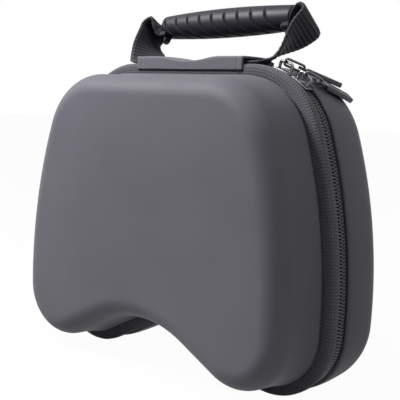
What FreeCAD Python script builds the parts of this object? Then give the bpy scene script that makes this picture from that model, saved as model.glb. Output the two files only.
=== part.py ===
import FreeCAD, Part
import math
import os
import Sketcher

# A zipped clamshell carrying case for a game controller.
# The case stands on its two lobes and its front faces -Y.
# The zip lies in the plane y = 0, and z = 0 is the floor.

doc = FreeCAD.newDocument("carrying_case")
sheet = doc.addObject("Spreadsheet::Sheet", "Sizes")

SIZES = [
    # outline of the rim, seen from the front
    ("case_width", 190.0),
    ("case_height", 154.0),
    ("case_depth", 82.4),
    ("shoulder_step", 55.0),      # from the side in to the corner's centre
    ("corner_radius", 43.4),
    ("side_radius", 249.0),
    ("lobe_radius", 33.5),
    ("arch_height", 20.3),
    ("arch_run", 23.3),           # straight flank between a lobe and the arch
    # moulded shells
    ("shell_wall", 3.5),
    ("band_width", 5.4),
    ("band_proud", 4.6),
    ("front_draft", 5.4),
    ("front_round", 8.0),
    ("rear_land", 6.1),
    ("rear_draft", 5.3),
    ("rear_round", 22.0),
    # zip and the seam that carries it
    ("zip_gap", 8.4),             # between the edges of the two shells
    ("rim_lip", 1.9),
    ("rim_round", 1.2),
    ("rim_seat", 3.1),
    ("fit_gap", 0.1),
    ("run_gap", 0.3),
    ("tape_thickness", 0.7),
    ("binding_thickness", 1.2),
    ("coil_gap", 1.0),
    ("coil_width", 2.2),
    ("coil_thickness", 2.4),
    ("coil_cord", 0.8),
    ("turn_pitch", 3.2),
    ("turn_length", 1.6),
    # spine between the two ends of the zip
    ("spine_half", 36.0),
    ("flap_thickness", 1.4),
    ("flap_overhang", 1.0),
    ("flap_ramp", 5.0),
    # handle
    ("strap_width", 15.6),
    ("strap_thickness", 1.7),
    ("strap_shift", 1.6),         # strap centre behind the zip plane
    ("tail_start", 19.0),
    ("bend_radius", 8.0),
    ("elbow_radius", 4.0),
    ("elbow_reach", 54.5),
    ("handle_rise", 28.3),
    ("handle_lean", 38.9),
    ("handle_tilt", 1.8),         # the grip hangs a little higher on the right
    ("fold_width", 8.6),
    ("fold_thickness", 3.2),
    ("grip_length", 88.0),
    ("grip_end_diameter", 12.4),
    ("grip_diameter", 15.4),
    ("grip_round", 0.8),
    ("groove_count", 9),
    ("groove_pitch", 8.8),
    ("groove_width", 1.6),
    ("groove_depth", 1.6),
    ("groove_slant", 35.0),
    # sliders and pulls
    ("slider_1_angle", 18.5),     # from the top, round the corner arc
    ("slider_2_angle", 34.2),
    ("slider_length", 10.4),
    ("slider_plate", 1.2),
    ("slider_side", 0.8),
    ("slider_width", 7.6),
    ("divider_length", 2.6),
    ("divider_thickness", 0.4),
    ("bail_length", 6.6),
    ("bail_height", 3.6),
    ("bail_wire", 1.4),
    ("link_wire", 1.2),
    ("link_length", 8.2),
    ("pull_1_yaw", 26.0),         # each pull hangs aslant on its bail
    ("pull_2_yaw", 18.0),
    ("pull_droop", 10.0),
    ("neck_width", 4.4),
    ("neck_length", 5.6),
    ("neck_thickness", 1.4),
    ("tab_width", 6.2),
    ("tab_length", 17.5),
    ("tab_thickness", 2.4),
    ("tab_round", 0.6),
    # net pocket inside the lid
    ("pocket_depth", 7.4),
    ("pocket_height", 95.0),
    ("net_thickness", 0.8),
    ("hem_height", 6.0),
    ("hem_thickness", 1.8),
]

for row, (alias, value) in enumerate(SIZES, start=1):
    sheet.set(f"A{row}", alias)
    sheet.set(f"B{row}", str(value))
    sheet.setAlias(f"B{row}", alias)
doc.recompute()

# Lengths that several pieces share, as expressions on the sheet.
LOBE_X = "(Sizes.case_width / 2 - Sizes.lobe_radius)"
CORNER_X = "(Sizes.case_width / 2 - Sizes.shoulder_step)"
CORNER_Z = "(Sizes.case_height - Sizes.corner_radius)"
ARCH_RADIUS = (
    f"(({LOBE_X} ^ 2 + (Sizes.lobe_radius - Sizes.arch_height) ^ 2"
    " - Sizes.lobe_radius ^ 2 - Sizes.arch_run ^ 2) / (2 * Sizes.arch_height))"
)
EDGE_Y = "(Sizes.zip_gap / 2)"
SEAT_Y = f"({EDGE_Y} + Sizes.rim_seat)"
BAND_Y = f"({EDGE_Y} + Sizes.band_width)"
HALF_DEPTH = "(Sizes.case_depth / 2)"
TAPE_OUT = "(Sizes.rim_lip + Sizes.fit_gap)"
TAPE_MID = f"({TAPE_OUT} + Sizes.tape_thickness / 2)"
TAPE_IN = f"({TAPE_OUT} + Sizes.tape_thickness)"
BINDING_OUT = f"({TAPE_IN} + Sizes.fit_gap)"
COIL_OUT = f"({TAPE_MID} - Sizes.coil_thickness / 2)"
COIL_IN = f"({TAPE_MID} + Sizes.coil_thickness / 2)"
COIL_EDGE_Y = "(Sizes.coil_gap / 2 + Sizes.coil_width)"
FLAP_LOW = "(Sizes.case_height + Sizes.run_gap)"
FLAP_HIGH = f"({FLAP_LOW} + Sizes.strap_thickness + Sizes.run_gap)"
FRONT_CAVITY = "(Sizes.band_proud + Sizes.shell_wall)"
NET_Y = f"({HALF_DEPTH} - Sizes.shell_wall - Sizes.pocket_depth)"
PLATE_IN = "(Sizes.coil_thickness / 2 + Sizes.run_gap)"
PLATE_OUT = f"({PLATE_IN} + Sizes.slider_plate)"
ZIP_RADIUS = f"(Sizes.corner_radius - {TAPE_MID})"
BAIL_RADIUS = f"({ZIP_RADIUS} + {PLATE_OUT} + Sizes.bail_height)"
LINK_RADIUS = "(Sizes.bail_wire / 2 + Sizes.run_gap + Sizes.link_wire / 2)"


def size(expression):
    """The value of an alias or of an expression on the sheet."""
    if expression in dict(SIZES):
        expression = "Sizes." + expression
    return float(sheet.evalExpression(expression))


def vector(x, y, z=0.0):
    return FreeCAD.Vector(x, y, z)


def arc(centre, radius, start, end):
    circle = Part.Circle(vector(*centre), vector(0, 0, 1), radius)
    return Part.ArcOfCircle(circle, start, end)


def segment(start, end):
    return Part.LineSegment(vector(*start), vector(*end))


def around(centre, radius, angle):
    return (centre[0] + radius * math.cos(angle), centre[1] + radius * math.sin(angle))


def mirrored(point):
    return (-point[0], point[1])


def outline_pieces(inset):
    """The ten tangent lines and arcs of the rim outline, moved inward by inset."""
    corner_radius = size("corner_radius")
    lobe_radius = size("lobe_radius")
    side_radius = size("side_radius")
    arch_radius = size(ARCH_RADIUS)
    corner = (size(CORNER_X), size(CORNER_Z))
    lobe = (size(LOBE_X), lobe_radius)
    arch = (0.0, size("arch_height") - arch_radius)
    # the side arc holds the corner and the lobe circles inside it
    step = (lobe[0] - corner[0], lobe[1] - corner[1])
    span = math.hypot(*step)
    to_corner = side_radius - corner_radius
    to_lobe = side_radius - lobe_radius
    along = (to_corner ** 2 - to_lobe ** 2 + span ** 2) / (2 * span)
    across = math.sqrt(to_corner ** 2 - along ** 2)
    down = (step[0] / span, step[1] / span)
    side = (corner[0] + along * down[0] + across * down[1], corner[1] + along * down[1] - across * down[0])
    high = math.atan2(corner[1] - side[1], corner[0] - side[0])
    low = math.atan2(lobe[1] - side[1], lobe[0] - side[0])
    # the flank is the inner tangent of the lobe and the arch
    toward_lobe = math.atan2(lobe[1] - arch[1], lobe[0])
    reach = math.hypot(lobe[0], lobe[1] - arch[1])
    flank = toward_lobe + math.acos((arch_radius + lobe_radius) / reach)
    lobe_end = around(lobe, lobe_radius - inset, flank + math.pi)
    arch_end = around(arch, arch_radius + inset, flank)
    top = size("case_height") - inset
    half_turn = math.pi
    return [
        segment((-corner[0], top), (corner[0], top)),
        arc(corner, corner_radius - inset, high, half_turn / 2),
        arc(side, side_radius - inset, low, high),
        arc(lobe, lobe_radius - inset, flank - half_turn, low),
        segment(lobe_end, arch_end),
        arc(arch, arch_radius + inset, flank, half_turn - flank),
        segment(mirrored(arch_end), mirrored(lobe_end)),
        arc(mirrored(lobe), lobe_radius - inset, half_turn - low, 2 * half_turn - flank),
        arc(mirrored(side), side_radius - inset, half_turn - high, half_turn - low),
        arc(mirrored(corner), corner_radius - inset, half_turn / 2, half_turn - high),
    ]


OUTLINE_JOINS = [
    (0, 2, 1, 2), (1, 1, 2, 2), (2, 1, 3, 2), (3, 1, 4, 1), (4, 2, 5, 1),
    (5, 2, 6, 1), (6, 2, 7, 2), (7, 1, 8, 2), (8, 1, 9, 2), (9, 1, 0, 1),
]


def bind(sketch, expression, kind, *where):
    """Adds one dimension to a sketch and ties it to the sheet."""
    index = sketch.addConstraint(Sketcher.Constraint(kind, *where, size(expression)))
    sketch.setExpression(f"Constraints[{index}]", expression)


def draw_outline(sketch, inset):
    """Draws the rim outline, inset by an expression, with its radii and centres tied to the sheet."""
    first = sketch.GeometryCount
    sketch.addGeometry(outline_pieces(size(inset)), False)
    joins = []
    for one, one_end, other, other_end in OUTLINE_JOINS:
        joins.append(Sketcher.Constraint("Tangent", first + one, one_end, first + other, other_end))
    joins.append(Sketcher.Constraint("PointOnObject", first + 5, 3, -2))
    sketch.addConstraint(joins)
    radii = {
        f"Sizes.corner_radius - {inset}": (1, 9),
        f"Sizes.side_radius - {inset}": (2, 8),
        f"Sizes.lobe_radius - {inset}": (3, 7),
        f"{ARCH_RADIUS} + {inset}": (5,),
    }
    for expression, pieces in radii.items():
        for piece in pieces:
            bind(sketch, expression, "Radius", first + piece)
    bind(sketch, CORNER_X, "DistanceX", -1, 1, first + 1, 3)
    bind(sketch, CORNER_X, "DistanceX", first + 9, 3, -1, 1)
    bind(sketch, LOBE_X, "DistanceX", -1, 1, first + 3, 3)
    bind(sketch, LOBE_X, "DistanceX", first + 7, 3, -1, 1)
    for piece in (1, 9):
        bind(sketch, CORNER_Z, "DistanceY", -1, 1, first + piece, 3)
    for piece in (3, 7):
        bind(sketch, "Sizes.lobe_radius", "DistanceY", -1, 1, first + piece, 3)
    bind(sketch, f"{ARCH_RADIUS} - Sizes.arch_height", "DistanceY", first + 5, 3, -1, 1)


def draw_polygon(sketch, points):
    """Draws a closed polygon whose corners are pairs of expressions."""
    first = sketch.GeometryCount
    corners = [(size(x), size(y)) for x, y in points]
    count = len(corners)
    sketch.addGeometry([segment(corners[i], corners[(i + 1) % count]) for i in range(count)], False)
    joins = [
        Sketcher.Constraint("Coincident", first + i, 2, first + (i + 1) % count, 1)
        for i in range(count)
    ]
    sketch.addConstraint(joins)
    for i, (x, y) in enumerate(points):
        bind(sketch, x, "DistanceX", -1, 1, first + i, 1)
        bind(sketch, y, "DistanceY", -1, 1, first + i, 1)


def draw_rectangle(sketch, left, right, bottom, top):
    draw_polygon(sketch, [(left, bottom), (right, bottom), (right, top), (left, top)])


def new_body(name):
    body = doc.addObject("PartDesign::Body", name)
    body.Label = name
    return body


def new_sketch(body, name, plane, lift="0"):
    """A sketch on one of the body's own planes, lifted along the plane's normal."""
    sketch = body.newObject("Sketcher::SketchObject", f"{body.Name}_{name}")
    support = next(item for item in body.Origin.OriginFeatures if item.Role == plane)
    sketch.AttachmentSupport = [(support, "")]
    sketch.MapMode = "FlatFace"
    sketch.setExpression("AttachmentOffset.Base.z", lift)
    return sketch


def new_feature(body, kind, sketch, length, backward=False, taper=None):
    feature = body.newObject(f"PartDesign::{kind}", f"{sketch.Name}_{kind.lower()}")
    feature.Profile = sketch
    feature.setExpression("Length", length)
    feature.Reversed = backward
    if taper:
        feature.setExpression("TaperAngle", taper)
    return feature


def pad(body, sketch, length, backward=False, taper=None):
    return new_feature(body, "Pad", sketch, length, backward, taper)


def pocket(body, sketch, length, backward=False, taper=None):
    return new_feature(body, "Pocket", sketch, length, backward, taper)


def round_edges(body, name, radius, wanted):
    """Fillets the edges of the body's tip that the test wants."""
    doc.recompute()
    base = body.Tip
    edges = [f"Edge{i}" for i, edge in enumerate(base.Shape.Edges, start=1) if wanted(edge)]
    fillet = body.newObject("PartDesign::Fillet", f"{body.Name}_{name}")
    fillet.Base = (base, edges)
    fillet.setExpression("Radius", radius)
    return fillet


TOLERANCE = 1e-4


def lies_at_y(edge, y):
    box = edge.BoundBox
    return abs(box.YMin - y) < TOLERANCE and abs(box.YMax - y) < TOLERANCE


def make_shell(name, side, first_length, step, draft, face_round, cavity):
    """One half of the case: rim, drafted body, rounded face, hollow and the seat for the zip tape."""
    body = new_body(name)
    front = side < 0
    sign = "" if front else "-"
    rim_end = f"({EDGE_Y} + {first_length})"
    rim = new_sketch(body, "rim", "XZ_Plane", f"{sign}{EDGE_Y}")
    draw_outline(rim, "0")
    pad(body, rim, first_length, not front)
    rounded = [side * size(EDGE_Y), side * size(rim_end)] if front else [side * size(EDGE_Y)]
    round_edges(body, "rim_round", "Sizes.rim_round", lambda edge: any(lies_at_y(edge, y) for y in rounded))
    bulge = new_sketch(body, "bulge", "XZ_Plane", f"{sign}{rim_end}")
    draw_outline(bulge, step)
    pad(body, bulge, f"{HALF_DEPTH} - {rim_end}", not front, f"-{draft}")
    hollow = new_sketch(body, "hollow", "XZ_Plane", f"{sign}{EDGE_Y}")
    draw_outline(hollow, cavity)
    pocket(body, hollow, f"{HALF_DEPTH} - Sizes.shell_wall - {EDGE_Y}", front, f"-{draft}")
    floor_y = side * (size(HALF_DEPTH) - size("shell_wall"))
    floor_round = f"{face_round} - Sizes.shell_wall"
    round_edges(body, "floor_round", floor_round, lambda edge: lies_at_y(edge, floor_y))
    face_y = side * size(HALF_DEPTH)
    round_edges(body, "face_round", face_round, lambda edge: lies_at_y(edge, face_y))
    seat = new_sketch(body, "seat", "XZ_Plane", f"{sign}{EDGE_Y}")
    draw_outline(seat, "Sizes.rim_lip")
    pocket(body, seat, "Sizes.rim_seat", front)
    return body


def ring(body, side, outer, inner, near, far):
    """A strip round the rim between two insets, from near to far of the zip plane."""
    front = side < 0
    sketch = new_sketch(body, "ring", "XZ_Plane", f"{'' if front else '-'}({near})")
    draw_outline(sketch, outer)
    draw_outline(sketch, inner)
    return pad(body, sketch, f"{far} - {near}", not front)


def open_at_spine(body):
    """Cuts a rim strip away along the top, where the spine takes the place of the zip."""
    cut = new_sketch(body, "spine_cut", "XZ_Plane", f"-{HALF_DEPTH}")
    draw_rectangle(cut, "-Sizes.spine_half", "Sizes.spine_half", CORNER_Z, "Sizes.case_height")
    pocket(body, cut, "Sizes.case_depth", True)


def make_tape(name, side):
    body = new_body(name)
    ring(body, side, TAPE_OUT, TAPE_IN, COIL_EDGE_Y, f"({SEAT_Y} - Sizes.fit_gap)")
    open_at_spine(body)
    return body


def make_binding(name, side):
    body = new_body(name)
    ring(body, side, BINDING_OUT, f"({BINDING_OUT} + Sizes.binding_thickness)", EDGE_Y, SEAT_Y)
    return body


def outline_wire(inset, first=0):
    """The rim outline as a wire in the plane y = 0, whole or from one of its pieces on."""
    edges = [piece.toShape() for piece in outline_pieces(inset)[first:]]
    wire = Part.Wire(Part.__sortEdges__(edges))
    wire.rotate(vector(0, 0), vector(1, 0), 90)
    return wire


def make_coil(name, side):
    """One row of the zip: a cord along the tape's edge, with the turns of the coil standing on it."""
    outer = outline_wire(size(COIL_OUT))
    inner = outline_wire(size(COIL_IN))
    away = vector(0, side, 0)
    face = Part.Face(outer).cut(Part.Face(inner))
    cord = face.extrude(away * size("coil_cord"))
    cord.translate(away * (size(COIL_EDGE_Y) - size("coil_cord")))
    spine = size("spine_half")
    notch = Part.makeBox(2 * spine, size("case_depth"), size("corner_radius"),
                         vector(-spine, -size(HALF_DEPTH), size(CORNER_Z)))
    cord = cord.cut(notch)
    middle = outline_wire(size(TAPE_MID), 1)
    count = int(middle.Length / size("turn_pitch"))
    reach = size("coil_width") - size("coil_cord")
    near = size("coil_gap") / 2
    turn_size = (size("turn_length"), reach, size("coil_thickness"))
    turn_start = vector(-turn_size[0] / 2, near if side > 0 else -near - reach, -turn_size[2] / 2)
    turn = Part.makeBox(*turn_size, turn_start)
    turns = []
    points = middle.discretize(Number=2 * count + 1)
    for i in range(1, 2 * count, 2):
        ahead = points[i + 1] - points[i - 1]
        angle = math.degrees(math.atan2(-ahead.z, ahead.x))
        copy = turn.copy()
        copy.Placement = FreeCAD.Placement(points[i], FreeCAD.Rotation(vector(0, 1), angle))
        turns.append(copy)
    row = doc.addObject("Part::Feature", name)
    row.Label = name
    row.Shape = cord.multiFuse(turns).Solids[0]
    return row


def make_hinge_cloth():
    """The cloth hinge inside the spine, sewn into the seats of both shells."""
    cloth = doc.addObject("Part::Box", "hinge_cloth")
    cloth.Label = "hinge_cloth"
    cloth.setExpression("Length", "2 * (Sizes.spine_half - Sizes.run_gap)")
    cloth.setExpression("Width", f"2 * ({SEAT_Y} - Sizes.fit_gap)")
    cloth.setExpression("Height", "Sizes.tape_thickness")
    cloth.setExpression("Placement.Base.x", "Sizes.run_gap - Sizes.spine_half")
    cloth.setExpression("Placement.Base.y", f"Sizes.fit_gap - {SEAT_Y}")
    cloth.setExpression("Placement.Base.z", f"Sizes.case_height - {TAPE_IN}")
    return cloth


def flap_line(rise):
    """The flap's line along the top, low in the middle and raised over the strap's tails."""
    foot = "(Sizes.tail_start - Sizes.run_gap - Sizes.flap_ramp)"
    crest = "(Sizes.tail_start - Sizes.run_gap)"
    high = f"{FLAP_HIGH} + {rise}"
    right = [(foot, f"{FLAP_LOW} + {rise}"), (crest, high), ("Sizes.spine_half", high)]
    left = [(f"-{x}", z) for x, z in reversed(right)]
    return left + right


def make_spine_flap():
    """The outer hinge strip, with a hem turned down in front of the band and one at the rear."""
    body = new_body("spine_flap")
    hem_front = f"({BAND_Y} + Sizes.run_gap + Sizes.flap_thickness)"
    hem_rear = f"({EDGE_Y} + Sizes.rear_land + Sizes.flap_overhang)"
    top = flap_line("Sizes.flap_thickness")
    strip = new_sketch(body, "strip", "XZ_Plane", hem_front)
    draw_polygon(strip, flap_line("0") + top[::-1])
    pad(body, strip, f"{hem_front} + {hem_rear}", True)
    for name, lift, bottom in (
        ("front_hem", hem_front, "(Sizes.case_height - Sizes.band_proud + 2 * Sizes.run_gap)"),
        ("rear_hem", f"(Sizes.flap_thickness - {hem_rear})", FLAP_LOW),
    ):
        hem = new_sketch(body, name, "XZ_Plane", lift)
        ends = [("-Sizes.spine_half", bottom), ("Sizes.spine_half", bottom)]
        draw_polygon(hem, ends + top[::-1])
        pad(body, hem, "Sizes.flap_thickness", True)
    return body


STRAP_STEPS = {"bend": 4, "rise": 5, "elbow": 10}


def strap_path():
    """Half of the strap's centre line in the handle's plane: points along x and up the lean."""
    bend_radius = size("bend_radius")
    elbow_radius = size("elbow_radius")
    tail_end = size("spine_half") + size("strap_thickness")
    bend = (tail_end, bend_radius)
    elbow = (size("elbow_reach") - elbow_radius, size("handle_rise") - elbow_radius)
    step = (elbow[0] - bend[0], elbow[1] - bend[1])
    slope = math.atan2(step[1], step[0]) - math.asin((elbow_radius - bend_radius) / math.hypot(*step))
    down = -math.pi / 2
    points = [(size("tail_start"), 0.0)]
    for i in range(STRAP_STEPS["bend"] + 1):
        points.append(around(bend, bend_radius, down + slope * i / STRAP_STEPS["bend"]))
    start = points[-1]
    end = around(elbow, elbow_radius, down + slope)
    for i in range(1, STRAP_STEPS["rise"]):
        part = i / STRAP_STEPS["rise"]
        points.append((start[0] + part * (end[0] - start[0]), start[1] + part * (end[1] - start[1])))
    for i in range(STRAP_STEPS["elbow"] + 1):
        part = i / STRAP_STEPS["elbow"]
        points.append(around(elbow, elbow_radius, down + slope + (math.pi - slope) * part))
    grip_end = size("grip_length") / 2
    points.append((grip_end + size("strap_thickness"), size("handle_rise")))
    return points


def smooth(part):
    part = min(max(part, 0.0), 1.0)
    return part * part * (3 - 2 * part)


def handle_frame():
    """The handle's foot on the spine, and the direction that its plane leans in."""
    lean = math.radians(size("handle_lean"))
    foot = vector(0, size("strap_shift"), size(FLAP_LOW) + size("strap_thickness") / 2)
    return foot, vector(0, math.sin(lean), math.cos(lean))


def make_webbing():
    """One strap from tail to tail: flat under the flap, turned with the lean, folded narrow in the grip."""
    lean = math.radians(size("handle_lean"))
    foot, up_lean = handle_frame()
    tilt = math.tan(math.radians(size("handle_tilt"))) / size("handle_rise")
    half = strap_path()
    elbow_height = size("handle_rise") - size("elbow_radius")
    fold_start = size("elbow_reach") - size("elbow_radius")
    fold_run = fold_start - half[-1][0]
    path = half + [mirrored(point) for point in reversed(half)]
    centres = [foot + vector(x, 0, x * rise * tilt) + up_lean * rise for x, rise in path]
    sections = []
    for i, (x, rise) in enumerate(path):
        tangent = centres[min(i + 1, len(path) - 1)] - centres[max(i - 1, 0)]
        tangent.normalize()
        turned = smooth(rise / elbow_height)
        level = vector(0, 0, 1).cross(tangent)
        level.normalize()
        across = level * (1 - turned) + vector(0, math.cos(lean), -math.sin(lean)) * turned
        across = across - tangent * across.dot(tangent)
        across.normalize()
        normal = tangent.cross(across)
        fold = smooth((fold_start - abs(x)) / fold_run) if rise > elbow_height else 0.0
        width = size("strap_width") + fold * (size("fold_width") - size("strap_width"))
        thick = size("strap_thickness") + fold * (size("fold_thickness") - size("strap_thickness"))
        corners = [
            centres[i] + across * (a * width / 2) + normal * (b * thick / 2)
            for a, b in ((-1, -1), (1, -1), (1, 1), (-1, 1))
        ]
        sections.append(Part.makePolygon(corners + corners[:1]))
    strap = doc.addObject("Part::Feature", "handle_webbing")
    strap.Label = "handle_webbing"
    strap.Shape = Part.makeLoft(sections, True, True)
    return strap


def make_grip():
    """A barrel of moulded rubber round the folded strap, with slanting finger grooves underneath."""
    body = new_body("handle_grip")
    profile = new_sketch(body, "profile", "XZ_Plane")
    bulge = "((Sizes.grip_diameter - Sizes.grip_end_diameter) / 2)"
    crown_radius = f"(((Sizes.grip_length / 2) ^ 2 + {bulge} ^ 2) / (2 * {bulge}))"
    half = size("grip_length") / 2
    end = size("grip_end_diameter") / 2
    crown_centre = (0.0, size("grip_diameter") / 2 - size(crown_radius))
    crown_end = math.atan2(end - crown_centre[1], half)
    profile.addGeometry([
        segment((-half, 0), (half, 0)),
        segment((half, 0), (half, end)),
        arc(crown_centre, size(crown_radius), crown_end, math.pi - crown_end),
        segment((-half, end), (-half, 0)),
    ], False)
    profile.addConstraint([
        Sketcher.Constraint("Coincident", 0, 2, 1, 1),
        Sketcher.Constraint("Coincident", 1, 2, 2, 1),
        Sketcher.Constraint("Coincident", 2, 2, 3, 1),
        Sketcher.Constraint("Coincident", 3, 2, 0, 1),
        Sketcher.Constraint("PointOnObject", 0, 1, -1),
        Sketcher.Constraint("PointOnObject", 0, 2, -1),
        Sketcher.Constraint("Vertical", 1),
        Sketcher.Constraint("Vertical", 3),
    ])
    bind(profile, "Sizes.grip_length / 2", "DistanceX", -1, 1, 0, 2)
    bind(profile, "Sizes.grip_length / 2", "DistanceX", 0, 1, -1, 1)
    bind(profile, "Sizes.grip_end_diameter / 2", "DistanceY", 1, 1, 1, 2)
    bind(profile, "Sizes.grip_end_diameter / 2", "DistanceY", 3, 2, 3, 1)
    bind(profile, crown_radius, "Radius", 2)
    barrel = body.newObject("PartDesign::Revolution", "handle_grip_barrel")
    barrel.Profile = profile
    barrel.ReferenceAxis = (profile, ["H_Axis"])
    barrel.Angle = 360
    round_edges(body, "end_round", "Sizes.grip_round", lambda edge: edge.BoundBox.XLength < TOLERANCE)
    bore = new_sketch(body, "bore", "YZ_Plane", "-Sizes.grip_length / 2")
    wide = "(Sizes.fold_width / 2 + Sizes.fit_gap)"
    deep = "(Sizes.fold_thickness / 2 + Sizes.fit_gap)"
    draw_rectangle(bore, f"-{wide}", wide, f"-{deep}", deep)
    pocket(body, bore, "Sizes.grip_length", True)
    groove = new_sketch(body, "groove", "XY_Plane", "Sizes.groove_depth - Sizes.grip_diameter / 2")
    lead = "(Sizes.groove_pitch * (Sizes.groove_count - 1) / 2)"
    slide = "(tan(Sizes.groove_slant * 1 deg) * Sizes.grip_diameter / 2)"
    half_slot = "(Sizes.groove_width / 2)"
    side = "(Sizes.grip_diameter / 2)"
    draw_polygon(groove, [
        (f"-{lead} - {slide} - {half_slot}", f"-{side}"),
        (f"-{lead} - {slide} + {half_slot}", f"-{side}"),
        (f"-{lead} + {slide} + {half_slot}", side),
        (f"-{lead} + {slide} - {half_slot}", side),
    ])
    first = pocket(body, groove, "Sizes.grip_diameter", False)
    doc.recompute()
    row = body.newObject("PartDesign::LinearPattern", "handle_grip_grooves")
    row.Originals = [first]
    row.Direction = (groove, ["H_Axis"])
    row.setExpression("Length", f"2 * {lead}")
    row.setExpression("Occurrences", "Sizes.groove_count")
    body.Tip = row
    foot, up_lean = handle_frame()
    tilt = FreeCAD.Rotation(vector(0, 1), -size("handle_tilt"))
    lean = FreeCAD.Rotation(vector(1, 0), -size("handle_lean"))
    body.Placement = FreeCAD.Placement(foot + up_lean * size("handle_rise"), tilt * lean)
    return body


def corner_placement(number):
    """The frame of a slider: at the corner's centre, with Z out through the slider and X along the zip."""
    centre = vector(size(CORNER_X), 0, size(CORNER_Z))
    return FreeCAD.Placement(centre, FreeCAD.Rotation(vector(0, 1), size(f"slider_{number}_angle")))


def pipe(body, name, path, profile):
    sweep = body.newObject("PartDesign::AdditivePipe", f"{body.Name}_{name}")
    sweep.Profile = profile
    sweep.Spine = path
    return sweep


def make_slider(number):
    """Two plates joined by the divider, bent round the corner arc, with a wire bail on top."""
    name = f"slider_{number}_body"
    body = new_body(name)
    half = "(Sizes.slider_width / 2)"
    inside = f"({half} - Sizes.slider_side)"
    lip = "(Sizes.tape_thickness / 2 + Sizes.run_gap)"
    section = new_sketch(body, "section", "YZ_Plane")
    for sign in ("+", "-"):
        plate = f"{ZIP_RADIUS} {sign} {PLATE_OUT}"
        roof = f"{ZIP_RADIUS} {sign} {PLATE_IN}"
        edge = f"{ZIP_RADIUS} {sign} {lip}"
        right = [(half, plate), (half, edge), (inside, edge), (inside, roof)]
        draw_polygon(section, right + [(f"-{y}", z) for y, z in reversed(right)])
    plates = body.newObject("PartDesign::Revolution", f"{name}_plates")
    plates.Profile = section
    plates.ReferenceAxis = (section, ["H_Axis"])
    plates.setExpression("Angle", f"Sizes.slider_length / {ZIP_RADIUS} * 1 rad")
    plates.Midplane = True
    divider_foot = f"{ZIP_RADIUS} - {PLATE_OUT} + Sizes.slider_plate / 2"
    divider = new_sketch(body, "divider", "XY_Plane", divider_foot)
    nose = "(Sizes.slider_length / 2 - Sizes.slider_plate)"
    draw_rectangle(
        divider, f"{nose} - Sizes.divider_length", nose,
        "-Sizes.divider_thickness / 2", "Sizes.divider_thickness / 2",
    )
    pad(body, divider, f"2 * {PLATE_OUT} - Sizes.slider_plate")
    reach = "(Sizes.bail_length / 2)"
    foot = f"({ZIP_RADIUS} + {PLATE_OUT} - Sizes.slider_plate / 2)"
    path = new_sketch(body, "bail_path", "XZ_Plane")
    bend = size("bail_wire")
    x = size(reach)
    low = size(foot)
    high = size(BAIL_RADIUS)
    path.addGeometry([
        segment((-x, low), (-x, high - bend)),
        arc((-x + bend, high - bend), bend, math.pi / 2, math.pi),
        segment((-x + bend, high), (x - bend, high)),
        arc((x - bend, high - bend), bend, 0, math.pi / 2),
        segment((x, high - bend), (x, low)),
    ], False)
    path.addConstraint([
        Sketcher.Constraint("Tangent", 0, 2, 1, 2),
        Sketcher.Constraint("Tangent", 1, 1, 2, 1),
        Sketcher.Constraint("Tangent", 2, 2, 3, 2),
        Sketcher.Constraint("Tangent", 3, 1, 4, 1),
        Sketcher.Constraint("Vertical", 0),
        Sketcher.Constraint("Vertical", 4),
        Sketcher.Constraint("Equal", 1, 3),
    ])
    bind(path, "Sizes.bail_wire", "Radius", 1)
    bind(path, reach, "DistanceX", 0, 1, -1, 1)
    bind(path, reach, "DistanceX", -1, 1, 4, 2)
    bind(path, foot, "DistanceY", -1, 1, 0, 1)
    bind(path, foot, "DistanceY", -1, 1, 4, 2)
    bind(path, BAIL_RADIUS, "DistanceY", -1, 1, 2, 1)
    wire = new_sketch(body, "bail_wire", "XY_Plane", foot)
    wire.addGeometry(Part.Circle(vector(-x, 0), vector(0, 0, 1), size("bail_wire") / 2), False)
    wire.addConstraint(Sketcher.Constraint("PointOnObject", 0, 3, -1))
    bind(wire, reach, "DistanceX", 0, 3, -1, 1)
    bind(wire, "Sizes.bail_wire / 2", "Radius", 0)
    doc.recompute()
    pipe(body, "bail", path, wire)
    body.Placement = corner_placement(number)
    return body


def pull_placement(number):
    """The frame of a pull: X along the bail's bar, Y along the pull, drooped over the rear shell."""
    on_bar = FreeCAD.Placement(vector(0, 0, size(BAIL_RADIUS)), FreeCAD.Rotation())
    yaw = FreeCAD.Placement(vector(0, 0), FreeCAD.Rotation(vector(0, 0, 1), -size(f"pull_{number}_yaw")))
    droop = FreeCAD.Placement(vector(0, 0), FreeCAD.Rotation(vector(1, 0), -size("pull_droop")))
    return corner_placement(number) * on_bar * droop * yaw


def make_link(number):
    """A closed wire loop that hangs on the bail's bar and holds the tab."""
    body = new_body(f"pull_{number}_link")
    radius = size(LINK_RADIUS)
    far = size("link_length")
    path = new_sketch(body, "path", "YZ_Plane")
    path.addGeometry([
        segment((far, -radius), (0, -radius)),
        arc((0, 0), radius, math.pi / 2, 3 * math.pi / 2),
        segment((0, radius), (far, radius)),
        arc((far, 0), radius, -math.pi / 2, math.pi / 2),
    ], False)
    path.addConstraint([
        Sketcher.Constraint("Tangent", 0, 2, 1, 2),
        Sketcher.Constraint("Tangent", 1, 1, 2, 1),
        Sketcher.Constraint("Tangent", 2, 2, 3, 2),
        Sketcher.Constraint("Tangent", 3, 1, 0, 1),
        Sketcher.Constraint("Coincident", 1, 3, -1, 1),
        Sketcher.Constraint("PointOnObject", 3, 3, -1),
    ])
    bind(path, LINK_RADIUS, "Radius", 1)
    bind(path, "Sizes.link_length", "DistanceX", -1, 1, 3, 3)
    wire = new_sketch(body, "wire", "XZ_Plane")
    wire.addGeometry(Part.Circle(vector(0, radius), vector(0, 0, 1), size("link_wire") / 2), False)
    wire.addConstraint(Sketcher.Constraint("PointOnObject", 0, 3, -2))
    bind(wire, LINK_RADIUS, "DistanceY", -1, 1, 0, 3)
    bind(wire, "Sizes.link_wire / 2", "Radius", 0)
    doc.recompute()
    pipe(body, "loop", path, wire)
    body.Placement = pull_placement(number)
    return body


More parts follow.
